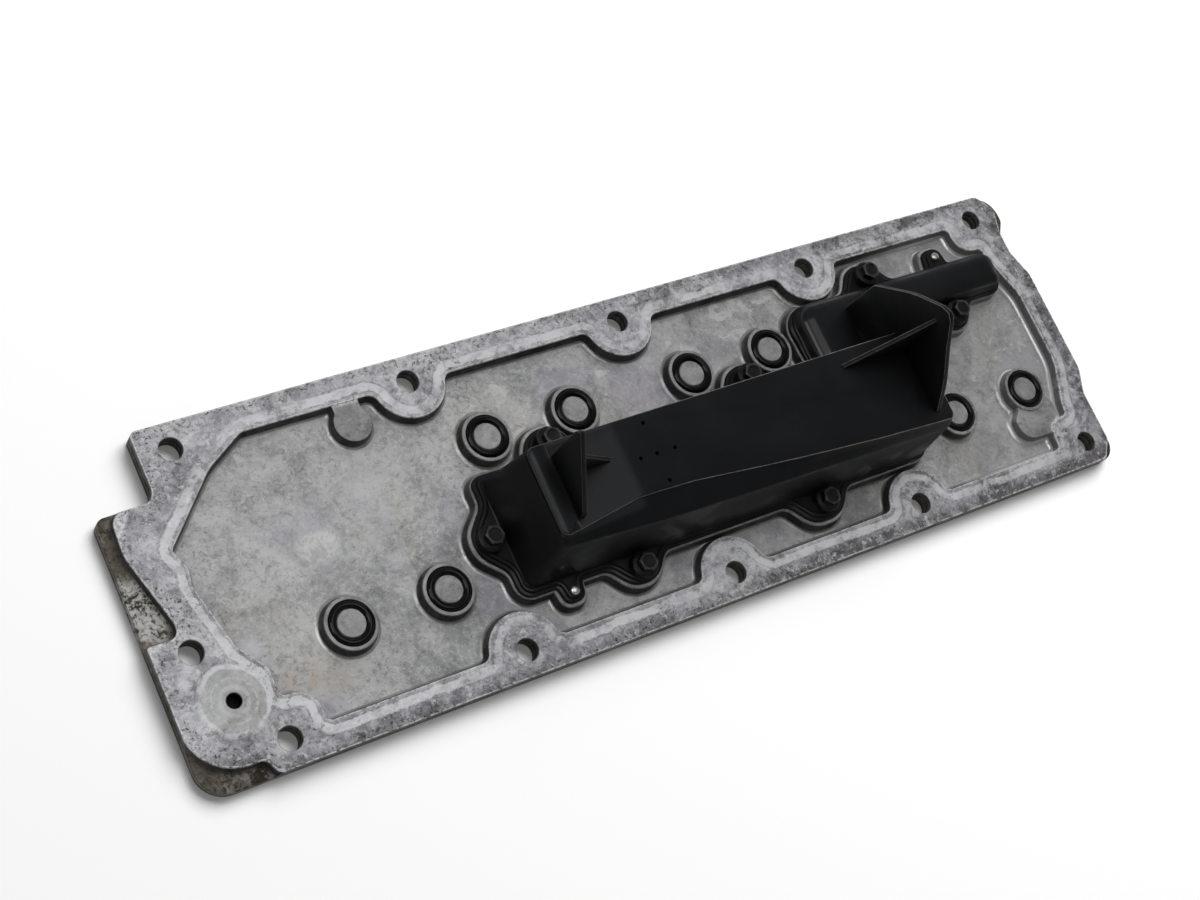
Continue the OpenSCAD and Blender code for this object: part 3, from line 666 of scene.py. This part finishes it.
# painted shade: the stains and the outer edge dull more towards the right
dull = (stain * (0.35 + right * 0.4) + outer * (0.05 + front * 0.55 + right * 0.45)).clamped()
disc = 1 - (around + (patches - 0.5) * 4).ramp(12.6, 13.8)
shaky = track_mark + (mottle - 0.5) * 2.6 + (patches - 0.5) * 5
band = shaky.band(2.0, 5.8, 0.5) * (1 - disc)
kept = alloy.noise(22, 5, 0.66, at=(9, 0, 2)).ramp(0.42, 0.54)
rubbed = (kept * 0.45 + mottle.ramp(0.40, 0.56) * 0.35).clamped()
crust = shaky.band(5.5, 6.5, 0.2) + shaky.band(1.45, 1.95, 0.15)
crust = (crust * fine.ramp(0.46, 0.56) * kept * 0.55 * (1 - disc)).clamped()
pits = alloy.noise(560, 5, 0.8, at=(1, 2, 3)).ramp(0.56, 0.60)
pits = pits * (stain * 0.6 + outer * 0.8).ramp(0.4, 0.8)
flake = alloy.noise(240, 6, 0.8, at=(4, 0, 3)).ramp(0.57, 0.61)
lip = (track_mark + (mottle - 0.5) * 0.9).band(-0.6, 0.45, 0.1)
lip = (lip + (rim_mark + fine - 0.5).band(-0.6, 0.6, 0.2)) * fine.ramp(0.42, 0.54)
inner_ring = (around + (mottle - 0.5) * 1.5).band(5.0, 6.8, 0.5)
outer_ring = (around + (patches - 0.5) * 4).band(13.2, 14.4, 0.5)
face = alloy.layered(
    alloy.blend(patches.ramp(0.40, 0.60), (0.36, 0.36, 0.385), (0.54, 0.542, 0.56)),
    (dull, (0.16, 0.155, 0.165)),
    (spot(2, 71, 14, 6, wave * 2, 0.4) * 0.45, (0.60, 0.602, 0.62)),
    ((1 - mottle.ramp(0.42, 0.48)) * (0.3 + dull * 0.5), (0.085, 0.08, 0.085)),
    ((1 - fine.ramp(0.41, 0.47)) * 0.45, (0.12, 0.115, 0.12)),
    (mottle.ramp(0.53, 0.59) * 0.3, (0.68, 0.682, 0.70)),
    (band * (0.1 + rubbed), (0.60, 0.603, 0.62)),
    (crust, (0.13, 0.127, 0.13)),
    (pits * 0.85, (0.045, 0.042, 0.04)),
    (flake * 0.55, (0.68, 0.68, 0.69)),
    ((lip * 0.75).clamped(), (0.70, 0.70, 0.71)),
    (disc * 0.62, (0.40, 0.41, 0.39)),
    (inner_ring * 0.35 + outer_ring * 0.2, (0.60, 0.605, 0.61)),
    (raised * 0.65, (0.185, 0.181, 0.176)))

# Painted shade with soot on the walls, less of it at the right, where a painted highlight
# lies along their foot, dirt with whitish salt on the low shelf, dirt on the outer side, and
# painted shade in the oil passage
dirt = alloy.noise(62, 8, 0.8, warp=0.6, at=(1, 1, 0))
wall_shade_and_soot = alloy.blend(dirt.ramp(0.42, 0.6), (0.018, 0.0165, 0.0145), (0.08, 0.078, 0.073))
right_wall = sx.ramp(364.1, 404.1)
lit_foot = sz.band(3.2, 4.8, 0.3) * right_wall * (1 - outside) * (1 - shelf)
salt = spot(-34, 1, 10, 14, wave * 2.4 + (mottle - 0.5), 0.3)
salt = (salt + spot(-17, -76, 18, 9, wave, 0.4) * 0.2).clamped()
salt = salt * (dirt + (mottle - 0.5) * 0.8 + (fine - 0.5) * 0.9).ramp(0.43, 0.56)
grime = alloy.layered(
    alloy.blend(dirt.ramp(0.42, 0.60), (0.018, 0.014, 0.008), (0.095, 0.082, 0.062)),
    (mottle.ramp(0.54, 0.61) * 0.5, (0.20, 0.185, 0.155)),
    (salt * 0.8, (0.47, 0.465, 0.455)))
passage_shade = (1 - around.ramp(3.293, 3.427)) * (1 - sz.ramp(8.4, 8.7))
cast_color = alloy.layered(
    floor,
    (machined, face),
    # painted highlight: the fillets at the foot of the walls are lighter
    (fillet_highlight * 0.25, (0.50, 0.50, 0.49)),
    # painted shade with soot on the walls, less of it at the right
    (walls * (0.92 - right_wall * 0.6), wall_shade_and_soot),
    # painted highlight along the foot of the right walls
    (lit_foot * 0.7, (0.66, 0.665, 0.66)),
    ((shelf + outside).clamped() * 0.97, grime),
    # painted shade: the oil passage is near black inside
    (passage_shade, (0.006, 0.006, 0.006)))
soiled = (shelf + walls).clamped()
cast_finish = alloy.surface(
    color=cast_color, specular=0.12,
    rough=0.48 + fine * 0.16 + stain * 0.06 - band * 0.06 + soiled * 0.1 - fillet_highlight * 0.2,
    metal=0.62 + fillet_highlight * 0.2 - (shelf + outside + walls + passage_shade).clamped() * 0.5,
    normal=alloy.bump(fine * 0.8 + grit * 0.3 + mottle * 0.9 - pits * 0.8, 0.0002))

cover = casting.made("cover_casting_dressed", cast_finish, 32, shift)
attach(cover, "root")
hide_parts("cover_casting")


# The separator housing.
# One black glass-filled nylon moulding that is screwed on the land: a box with a
# long wedge on its front, a ledge and vent channel behind it, a fin and a wing plate.

deck_z, crease_z, seat_z, tab_z, wing_z = 45.0, 40.5, 15.0, 12.5, 85.0
box_left, box_right, box_back = 122.6, 349.2, 11.5
fin_x, wing_x, rib_y, plate_t, rib_t, drain_r = 143.6, 340.0, 2.0, 2.6, 2.0, 0.95
drains = [(190, 5.4), (181.4, -9.5), (190, -9.5), (199.6, -9.5), (190, -22.6)]
screws = [(114.9, -15.2), (160.8, 18.8), (178.3, -48.6), (282.6, -48.6), (273.2, 19.3),
          (364, 51.2), (405.5, 18.6)]
pins = [(142.4, -48.3), (410.4, 50.3)]


def lofted(body, rings, wear, top=None):
    """A closed skin through rings of equally many points, with wear on each ring."""
    n = len(rings[0])
    body.add(np.concatenate(rings), skin(n, len(rings)), wear=np.repeat(wear, n))
    for ring, cap, order in ((rings[0], flat_cap, -1), (rings[-1], top or flat_cap, 1)):
        points, faces = cap(ring)
        body.add(points, faces[:, ::order])


def flat_cap(ring):
    lines = Sketch()
    lines.line(ring[:, :2])
    points, faces = lines.filled(inside_of(ring))
    return level(points, ring[0, 2]), faces


def swept(body, outline, steps, bend=9):
    """A closed skin round an outline, by steps of (growth, height, wear)."""
    lofted(body, [level(traced(outline, grow, bend), z) for grow, z, _ in steps],
           [wear for *_, wear in steps])


def inside_of(ring):
    """Tests points against a polygon."""
    ax, ay = ring[:, 0], ring[:, 1]
    bx, by = np.roll(ax, -1), np.roll(ay, -1)

    def test(x, y):
        over = (ay[None] > y[:, None]) != (by[None] > y[:, None])
        with np.errstate(divide="ignore", invalid="ignore"):
            cross = ax + (y[:, None] - ay) * (bx - ax) / (by - ay)
        return (over & (x[:, None] < cross)).sum(1) % 2 == 1
    return test


shell = Body("wear")

# The flange: an outer lip, a raised bead and a sunk band round the foot of the box
swept(shell, flange_edge, [
    (0, 9.02, 0), (0, 10.5, 0), (-0.2, 10.9, 0.5), (-0.55, 11.05, 0.1), (-1.2, 11.0, 0),
    (-1.5, 11.15, 0), (-1.65, 11.9, 0), (-1.85, 12.35, 0.3), (-2.2, 12.5, 0.2), (-3.2, 12.5, 0),
    (-3.6, 12.3, 0), (-3.9, 12.0, 0)])

# The collars under the screws
collar = [(6.5, 9.5), (6.5, 12.0), (6.2, 12.4), (6.1, 13.0), (6.1, 14.7), (5.9, seat_z)]
for middle in screws:
    lofted(shell, [level(round_points(middle, r, 48), z) for r, z in collar], [0] * len(collar))

# The box: its front edge swings in towards the left third, over a sloping wedge face
deck_front = [(158.4, -28.0), (172, -25.9), (183, -26.0), (201.5, -26.7), (214.5, -28),
              (235.5, -30.2), (257.2, -32.3), (279.5, -34.1), (302.5, -35.9), (326.3, -37.2)]


def box_ring(left, right, back, r, front_left, front, front_right):
    """Outline of the box at one level, with the same number of points at each."""
    arcs = rounded([(left, back, r), (left, front_left, r), (right, front_right, r),
                    (right, back, r)])
    return np.array(arc_points(arcs[0]) + arc_points(arcs[1]) + list(front)
                    + arc_points(arcs[2]) + arc_points(arcs[3]))


def bowed(a, b, bow):
    """The front edge at another level, over the same stations."""
    made = []
    for x, _ in deck_front:
        t = (x - box_left) / (box_right - box_left)
        made.append((x, a + (b - a) * t + 4 * bow * t * (1 - t)))
    return made


foot = box_ring(box_left, box_right, box_back, 5, -41, bowed(-41, -43.6, -0.4), -43.6)
crease = box_ring(box_left + 7.8, box_right - 0.3, box_back - 1, 4.5, -35.2,
                  bowed(-35.2, -40.6, -1.1), -40.6)
deck = box_ring(box_left + 9, box_right - 0.5, box_back - 1.3, 3.5, -31.4, deck_front, -38.3)


def moved_out(ring, by):
    """The ring's points moved outwards along their own normals."""
    before, after = np.roll(ring, 1, 0), np.roll(ring, -1, 0)
    e, g = ring - before, after - ring
    e /= np.maximum(np.hypot(*e.T)[:, None], 1e-9)
    g /= np.maximum(np.hypot(*g.T)[:, None], 1e-9)
    normal = np.stack([e[:, 1] + g[:, 1], -e[:, 0] - g[:, 0]], 1)
    return ring + by * normal / np.maximum((normal ** 2).sum(1)[:, None] / 2, 1e-6)


def deck_shape(x, y):
    """The deck drops by a step beside the fin, slopes up to the right, and rounds off left."""
    drop = np.interp(x, (134.5, 140.4, 141.2, 144, 173, 176), (0.0, 0.1, 1.7, 1.75, 0.12, 0.0))
    return deck_z - drop * np.interp(y, (-31, -27, 4, 8.5), (0.15, 1, 1, 0.15)) - left_round(x)


def left_round(x):
    """How far the deck's left ridge is rounded down at x."""
    return np.interp(x, (131.6, 132.3, 133.1, 134.2, 135.6), (2.2, 1.05, 0.45, 0.1, 0.0))


def deck_top(ring):
    lines = Sketch()
    lines.line(ring[:, :2])
    for x in (133.1, 134.2, 135.6, 138, 140.4, 141.2, 144, 152, 160, 168, 173, 176):
        lines.line([(x, y) for y in np.linspace(-25, 8, 12)], closed=False)
    for middle in drains:
        lines.circle(middle, drain_r, 16)
        lines.circle(middle, drain_r + 0.25, 16)
    whole = inside_of(ring)

    def test(x, y):
        ok = whole(x, y)
        for px, py in drains:
            ok &= np.hypot(x - px, y - py) > drain_r - 0.02
        return ok
    flat, faces = lines.filled(test)
    return np.column_stack([flat, deck_shape(*flat.T)]), faces


def between(a, b, t):
    return a + (b - a) * t


top_ring = moved_out(deck, -0.9)
rings = [level(moved_out(foot, 1.3), 11.0), level(moved_out(foot, 1.1), 12.05),
         level(moved_out(foot, 0.35), 12.4), level(foot, 13.2)]
low_wall, high_wall = level(foot, 13.2), level(crease, crease_z)
edge_ring = level(deck, deck_z - 0.8)
rings += [between(low_wall, high_wall, t) for t in (0.25, 0.5, 0.75, 0.95)]
before, after = between(low_wall, high_wall, 0.985), between(high_wall, edge_ring, 0.14)
rings += [before, (before + after) / 4 + high_wall / 2, after,
          between(high_wall, edge_ring, 0.55), edge_ring]
rings += [level(moved_out(deck, -0.2), deck_z - 0.3)]
last = np.column_stack([top_ring, deck_shape(*top_ring.T)])
for ring in (rings[-1], rings[-2]):
    ring[:, 2] -= left_round(ring[:, 0]) * 0.9
rings.append(last)
lofted(shell, rings, [0] * (len(rings) - 3) + [0.15, 1.0, 0.15], top=deck_top)

# The drains through the deck
for middle in drains:
    mouth = round_points(middle, drain_r, 16)
    end = level(mouth, deck_z - 4)
    shell.add(np.concatenate([level(mouth, deck_shape(*mouth.T)), end]), skin(16, 2))
    shell.add(end, [range(16)])

# The ledge behind the box, and the round-backed vent channel that runs on from it
ledge = rounded([(312.5, 3.5, 3), (344.96, 3.5, 3), (box_right + 11, 25.0, 7), (440, 25.0, 6),
                 (440, 44.6, 6), (312.5, 44.6, 10)])
swept(shell, ledge, [
    (1.2, 11.0, 0), (1.0, 12.05, 0), (0.35, 12.4, 0), (0, 13.1, 0), (-0.25, 15.2, 0),
    (-0.7, 16.6, 0), (-1.5, 17.7, 0), (-2.6, 18.55, 0), (-4.0, 19.2, 0), (-5.6, 19.75, 0),
    (-7.4, 20.0, 0)])


def plate(body, points, thick, edge, place):
    """A flat plate with rounded edges. Its outline is drawn in its own plane."""
    flat = Body("wear")
    swept(flat, rounded(points), [
        (-edge, 0, 0.1), (-edge * 0.3, edge * 0.3, 1.0), (0, edge, 0.35),
        (0, thick - edge, 0.35), (-edge * 0.3, thick - edge * 0.3, 1.0), (-edge, thick, 0.1)], 12)
    body.add(place(*np.array(flat.points).T), flat.faces, wear=flat.marks["wear"])


def crosswise(x, thick):
    """Places a plate drawn in Y and Z at x."""
    return lambda u, v, w: np.column_stack([x - thick / 2 + w, u, v])


def lengthwise(y, thick):
    """Places a plate drawn in X and Z at y."""
    return lambda u, v, w: np.column_stack([u, y + thick / 2 - w, v])


# The fin with its gusset, and the wing plate with its rib
plate(shell, [(-26, 43, 0.5), (4.3, 43, 0.5), (4.1, 71, 1.5), (2.4, 74, 1.2), (0.4, 73, 1.5),
              (-25.5, 47, 1.5)], plate_t, 0.45, crosswise(fin_x, plate_t))
plate(shell, [(fin_x, 43, 0.3), (fin_x + 24, 43, 0.3), (fin_x + 24, 44.8, 0.8),
              (fin_x + 2, deck_z + 19.2, 2), (fin_x, deck_z + 19.2, 0.3)], rib_t, 0.5,
      lengthwise(-5.5, rib_t))
plate(shell, [(-32.6, 43, 0.5), (9, 43, 0.5), (9, 18.5, 0.5), (36.2, 18.5, 0.5), (35, 46.5, 3.5),
              (19, 69.1, 40), (5.4, 82.6, 2.5), (0.5, wing_z, 2.2), (-3.4, 83.0, 2.5),
              (-11.4, 73, 30), (-24.3, 59.3, 30), (-30.6, 49.6, 2), (-32.8, 46, 1)],
      plate_t, 0.5, crosswise(wing_x, plate_t))
plate(shell, [(wing_x - 39.5, 43, 0.3), (wing_x, 43, 0.3), (wing_x, 76.5, 0.3),
              (wing_x - 39, 45.6, 1.0)], rib_t, 0.5, lengthwise(rib_y, rib_t))

# Moulded nylon: dull black with faint flow clouds and fine grain, oily and glossy round its
# foot, a painted sheen on the sloping part of the deck, painted highlights on its ridges, a
# faint mould ring on the deck, and pale edges that are rubbed and carry painted highlights
nylon = Finish("black moulded nylon")
sx, sy, sz = nylon.millimetres()
drift = nylon.noise(18, 3, 0.5, warp=0.5)
rub = nylon.noise(160, 4, 0.6)
chips = nylon.noise(420, 4, 0.7)
grain = nylon.noise(2200, 2, 0.5)
scuff = nylon.noise(90, 5, 0.7, stretch=(1, 0.35, 1)).ramp(0.55, 0.75)
on_deck = sz.ramp(42.5, 43.2) * (1 - sz.ramp(45.2, 45.6))
slope_sheen = sx.band(140.6, 174.6, 2.5) * on_deck
mould_mark = length(sx - 263.9, sy + 11.5).band(4.7, 5.2, 0.15) * on_deck
ridge = sx.band(131.9, 134.1, 0.6) + sx.band(140.3, 141.1, 0.4)
ridge = ridge * sz.ramp(41.5, 43.5) * (1 - sz.ramp(45.5, 46.0)) * sy.band(-30, 8, 3)
edge_rub_and_highlight = (nylon.mark("wear") * (0.45 + rub * 0.5 + chips * 0.5)).ramp(0.45, 1.0)
edge_rub_and_highlight = edge_rub_and_highlight * (0.4 + sx.ramp(174.1, 214.1) * 0.6)
oil = nylon.noise(32, 5, 0.65, warp=0.6, at=(2, 0, 1)).ramp(0.42, 0.6) * (1 - sz.ramp(20, 34))
gloss = nylon.noise(26, 3, 0.5, at=(4, 4, 0)).ramp(0.50, 0.56) * sz.band(18, 40, 4)
nylon_color = nylon.layered(
    nylon.blend(drift.ramp(0.35, 0.7), (0.0030, 0.0033, 0.0040), (0.0052, 0.0056, 0.0065)),
    (scuff * 0.2, (0.012, 0.0125, 0.0135)),
    # painted sheen on the sloping part of the deck
    (slope_sheen * 0.75, (0.014, 0.0145, 0.0155)),
    (mould_mark * 0.5, (0.0012, 0.0012, 0.0014)),
    # painted highlight on the rounded ridges of the deck, varied by rubbing
    ((ridge * (0.5 + rub * 0.8)).clamped() * 0.75, (0.048, 0.049, 0.051)),
    # pale edges: rubbing, with painted highlights
    (edge_rub_and_highlight * 0.7, (0.22, 0.215, 0.21)))
nylon_finish = nylon.surface(
    color=nylon_color, metal=0.0, specular=0.12,
    rough=0.5 + (drift - 0.5) * 0.12 + edge_rub_and_highlight * 0.1 + grain * 0.03 - gloss * 0.1,
    coat=(oil * 0.35 + gloss * 0.15).clamped(), coat_rough=0.16,
    normal=nylon.bump(grain * 0.5 + rub * 0.6 + chips * 0.3, 0.00006))

housing = shell.made("separator_housing_dressed", nylon_finish, 34, shift)
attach(housing, "root")
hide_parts("separator_housing")


# The bead under the housing's flange.
# A moulded rubber cord, pressed into the flange's groove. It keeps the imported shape.

rubber = Finish("gasket rubber")
dust = rubber.noise(300, 3, 0.6)
bead_finish = rubber.surface(
    color=rubber.blend(dust, (0.012, 0.012, 0.012), (0.03, 0.03, 0.029)),
    rough=0.55 + dust * 0.15, normal=rubber.bump(dust, 0.00005))
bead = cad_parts["separator_gasket"]
bead.data.materials.clear()
bead.data.materials.append(bead_finish)


# The O-rings on the oil plugs.
# Eight moulded nitrile rings, wet with oil, each stretched over the post of its boss.

ring_r, cord_r, groove_z = 8.3, 1.75, 6.3


def socket_of(tree, name):
    return next(item.identifier for item in tree.interface.items_tree if item.name == name)


def seats(name, places, z, turns):
    """An object whose points are the seats of like parts."""
    mesh = bpy.data.meshes.new(name)
    mesh.from_pydata([((x + shift) / 1000, y / 1000, z / 1000) for x, y in places], [], [])
    mesh.attributes.new("turn", "FLOAT", "POINT").data.foreach_set("value", turns)
    return linked(name, mesh)


class Pattern:
    """A Geometry Nodes tree that sets like parts on the points of its object."""

    def __init__(self, name, inputs):
        self.tree = bpy.data.node_groups.new(name, "GeometryNodeTree")
        face = self.tree.interface
        face.new_socket("Seats", in_out="INPUT", socket_type="NodeSocketGeometry")
        for label, kind in inputs:
            face.new_socket(label, in_out="INPUT", socket_type=kind)
        face.new_socket("Parts", in_out="OUTPUT", socket_type="NodeSocketGeometry")
        self.given = self.node("NodeGroupInput")

    def node(self, kind, settings={}, **links):
        made = self.tree.nodes.new(kind)
        for key, value in settings.items():
            setattr(made, key, value)
        for key, value in links.items():
            socket = made.inputs[key.replace("_", " ")]
            if isinstance(value, bpy.types.NodeSocket):
                self.tree.links.new(value, socket)
            else:
                socket.default_value = value
        return made

    def finished(self, part, finish):
        """Sets part on each seat, makes it real and gives it its material."""
        named = self.node("GeometryNodeInputNamedAttribute", {"data_type": "FLOAT"}, Name="turn")
        spin = self.node("ShaderNodeCombineXYZ", {}, Z=named.outputs[0])
        rows = self.node("GeometryNodeInstanceOnPoints", {}, Points=self.given.outputs["Seats"],
                         Instance=part, Rotation=spin.outputs[0])
        real = self.node("GeometryNodeRealizeInstances", {}, Geometry=rows.outputs[0])
        dressed = self.node("GeometryNodeSetMaterial", {}, Geometry=real.outputs[0],
                            Material=finish)
        end = self.tree.nodes.new("NodeGroupOutput")
        self.tree.links.new(dressed.outputs[0], end.inputs[0])

    def baked(self, carrier, **values):
        """Runs the tree on the carrier, and keeps its result as a plain mesh."""
        modifier = carrier.modifiers.new("Pattern", "NODES")
        modifier.node_group = self.tree
        for label, value in values.items():
            modifier[socket_of(self.tree, label.replace("_", " "))] = value
        applied(carrier)
        return carrier


wet = Finish("wet nitrile rubber")
film = wet.noise(500, 3, 0.5)
wet_finish = wet.surface(
    color=wet.blend(film, (0.0018, 0.0018, 0.0018), (0.004, 0.004, 0.004)),
    rough=0.1 + film * 0.06, specular=0.17)

rings_tree = Pattern("Rings in their grooves", [
    ("Ring Radius", "NodeSocketFloat"), ("Cord Radius", "NodeSocketFloat"),
    ("Finish", "NodeSocketMaterial")])
ring_line, cord_line = [
    rings_tree.node("GeometryNodeCurvePrimitiveCircle", {}, Resolution=count,
                    Radius=rings_tree.given.outputs[label])
    for label, count in (("Ring Radius", 72), ("Cord Radius", 20))]
tube = rings_tree.node("GeometryNodeCurveToMesh", {}, Curve=ring_line.outputs[0],
                       Profile_Curve=cord_line.outputs[0])
smooth = rings_tree.node("GeometryNodeSetShadeSmooth", {}, Geometry=tube.outputs[0])
rings_tree.finished(smooth.outputs[0], rings_tree.given.outputs["Finish"])
seals = rings_tree.baked(
    seats("oil_seals", plugs, groove_z + cord_r, [0.0] * len(plugs)),
    Ring_Radius=ring_r / 1000, Cord_Radius=cord_r / 1000, Finish=wet_finish)
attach(seals, "root")
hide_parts(*[f"oil_seal_{k}" for k in range(1, 9)])


# The housing screws.
# Seven cold-headed steel screws with a hexagon of 8 mm and a pressed-on flange, black from
# their zinc-nickel coat, with a shallow dish in the head.

hex_half, washer_r, shank_r, shank_length = 4.0, 6.2, 2.5, 6.0


def turned(body, steps, n, downwards=False):
    """A closed solid round Z, by steps of (radius, height, wear)."""
    for r, z, wear in steps:
        body.add(level(round_points((0, 0), r, n), z), [], wear=wear)
    sides = skin(n, len(steps))
    first, last = list(range(n)), list(range((len(steps) - 1) * n, len(steps) * n))
    if downwards:
        body.faces += [(a, d, c, b) for a, b, c, d in sides] + [first, last[::-1]]
    else:
        body.faces += sides + [first[::-1], last]


turns = np.arange(48) * 2 * np.pi / 48
hex_r = hex_half / np.cos((turns + np.pi / 6) % (np.pi / 3) - np.pi / 6)
head = Body("wear")
turned(head, [
    (0.01, 4.65, 0), (2.5, 4.7, 0), (2.8, 4.95, 0.5), (3.7, 5.0, 0.8),
    (hex_r, 5.0 - (hex_r - 3.7) * 0.55, 1.0), (hex_r, 4.3, 0.1), (hex_r, 1.75, 0),
    (hex_r + 0.15, 1.5, 0), (5.1, 1.38, 0), (5.8, 1.05, 0.2), (6.12, 0.8, 0.9),
    (washer_r, 0.5, 0.3), (washer_r, 0.1, 0), (6.05, 0.0, 0), (shank_r, 0.0, 0),
    (shank_r, -shank_length, 0)], 48, downwards=True)

coated = Finish("black coated steel")
patch = coated.noise(260, 4, 0.6)
scratch = coated.noise(900, 3, 0.6, stretch=(1, 1, 0.3))
coat_color = coated.blend(patch.ramp(0.5, 0.75), (0.005, 0.005, 0.006), (0.014, 0.014, 0.014))
bare = (coated.mark("wear") * (0.5 + patch)).ramp(0.45, 1.0)
steel_finish = coated.surface(
    color=coated.blend(bare * 0.28, coat_color, (0.14, 0.138, 0.136)),
    rough=0.38 + scratch * 0.2, metal=0.35, specular=0.25, normal=coated.bump(scratch, 0.00004))

screw = head.made("screw_pattern", steel_finish, 25)
parts_tree = Pattern("Fasteners on their seats", [
    ("Part", "NodeSocketObject"), ("Finish", "NodeSocketMaterial")])
info = parts_tree.node("GeometryNodeObjectInfo", {"transform_space": "ORIGINAL"},
                       Object=parts_tree.given.outputs["Part"])
parts_tree.finished(info.outputs["Geometry"], parts_tree.given.outputs["Finish"])
screw_turns = [0.3, 1.1, 0.15, 0.75, 0.5, 0.9, 0.2]
row = parts_tree.baked(seats("housing_screws", screws, seat_z, screw_turns),
                       Part=screw, Finish=steel_finish)
bpy.data.objects.remove(screw)
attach(row, "root")
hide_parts(*[f"separator_screw_{k}" for k in range(1, 8)])


# The locating pins.
# Two bright steel pins with domed ends, pressed through the housing's tabs.

dome = Body()
turned(dome, [(2.2, -4.0, 0), (2.2, 0.4, 0), (2.15, 0.7, 0), (1.95, 1.05, 0), (1.6, 1.3, 0),
              (1.1, 1.48, 0), (0.6, 1.57, 0), (0.05, 1.6, 0)], 24)
bright = Finish("bright pin steel")
speck = bright.noise(700, 3, 0.6)
pin_finish = bright.surface(
    color=bright.blend(speck, (0.45, 0.44, 0.43), (0.62, 0.61, 0.6)),
    rough=0.25 + speck * 0.2, metal=1.0, normal=bright.bump(speck, 0.00003))
pin = dome.made("pin_pattern", pin_finish, 40)
pair = parts_tree.baked(seats("locating_pins", pins, tab_z, [0.0, 0.0]),
                        Part=pin, Finish=pin_finish)
bpy.data.objects.remove(pin)
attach(pair, "root")
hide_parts("locating_pin_1", "locating_pin_2")
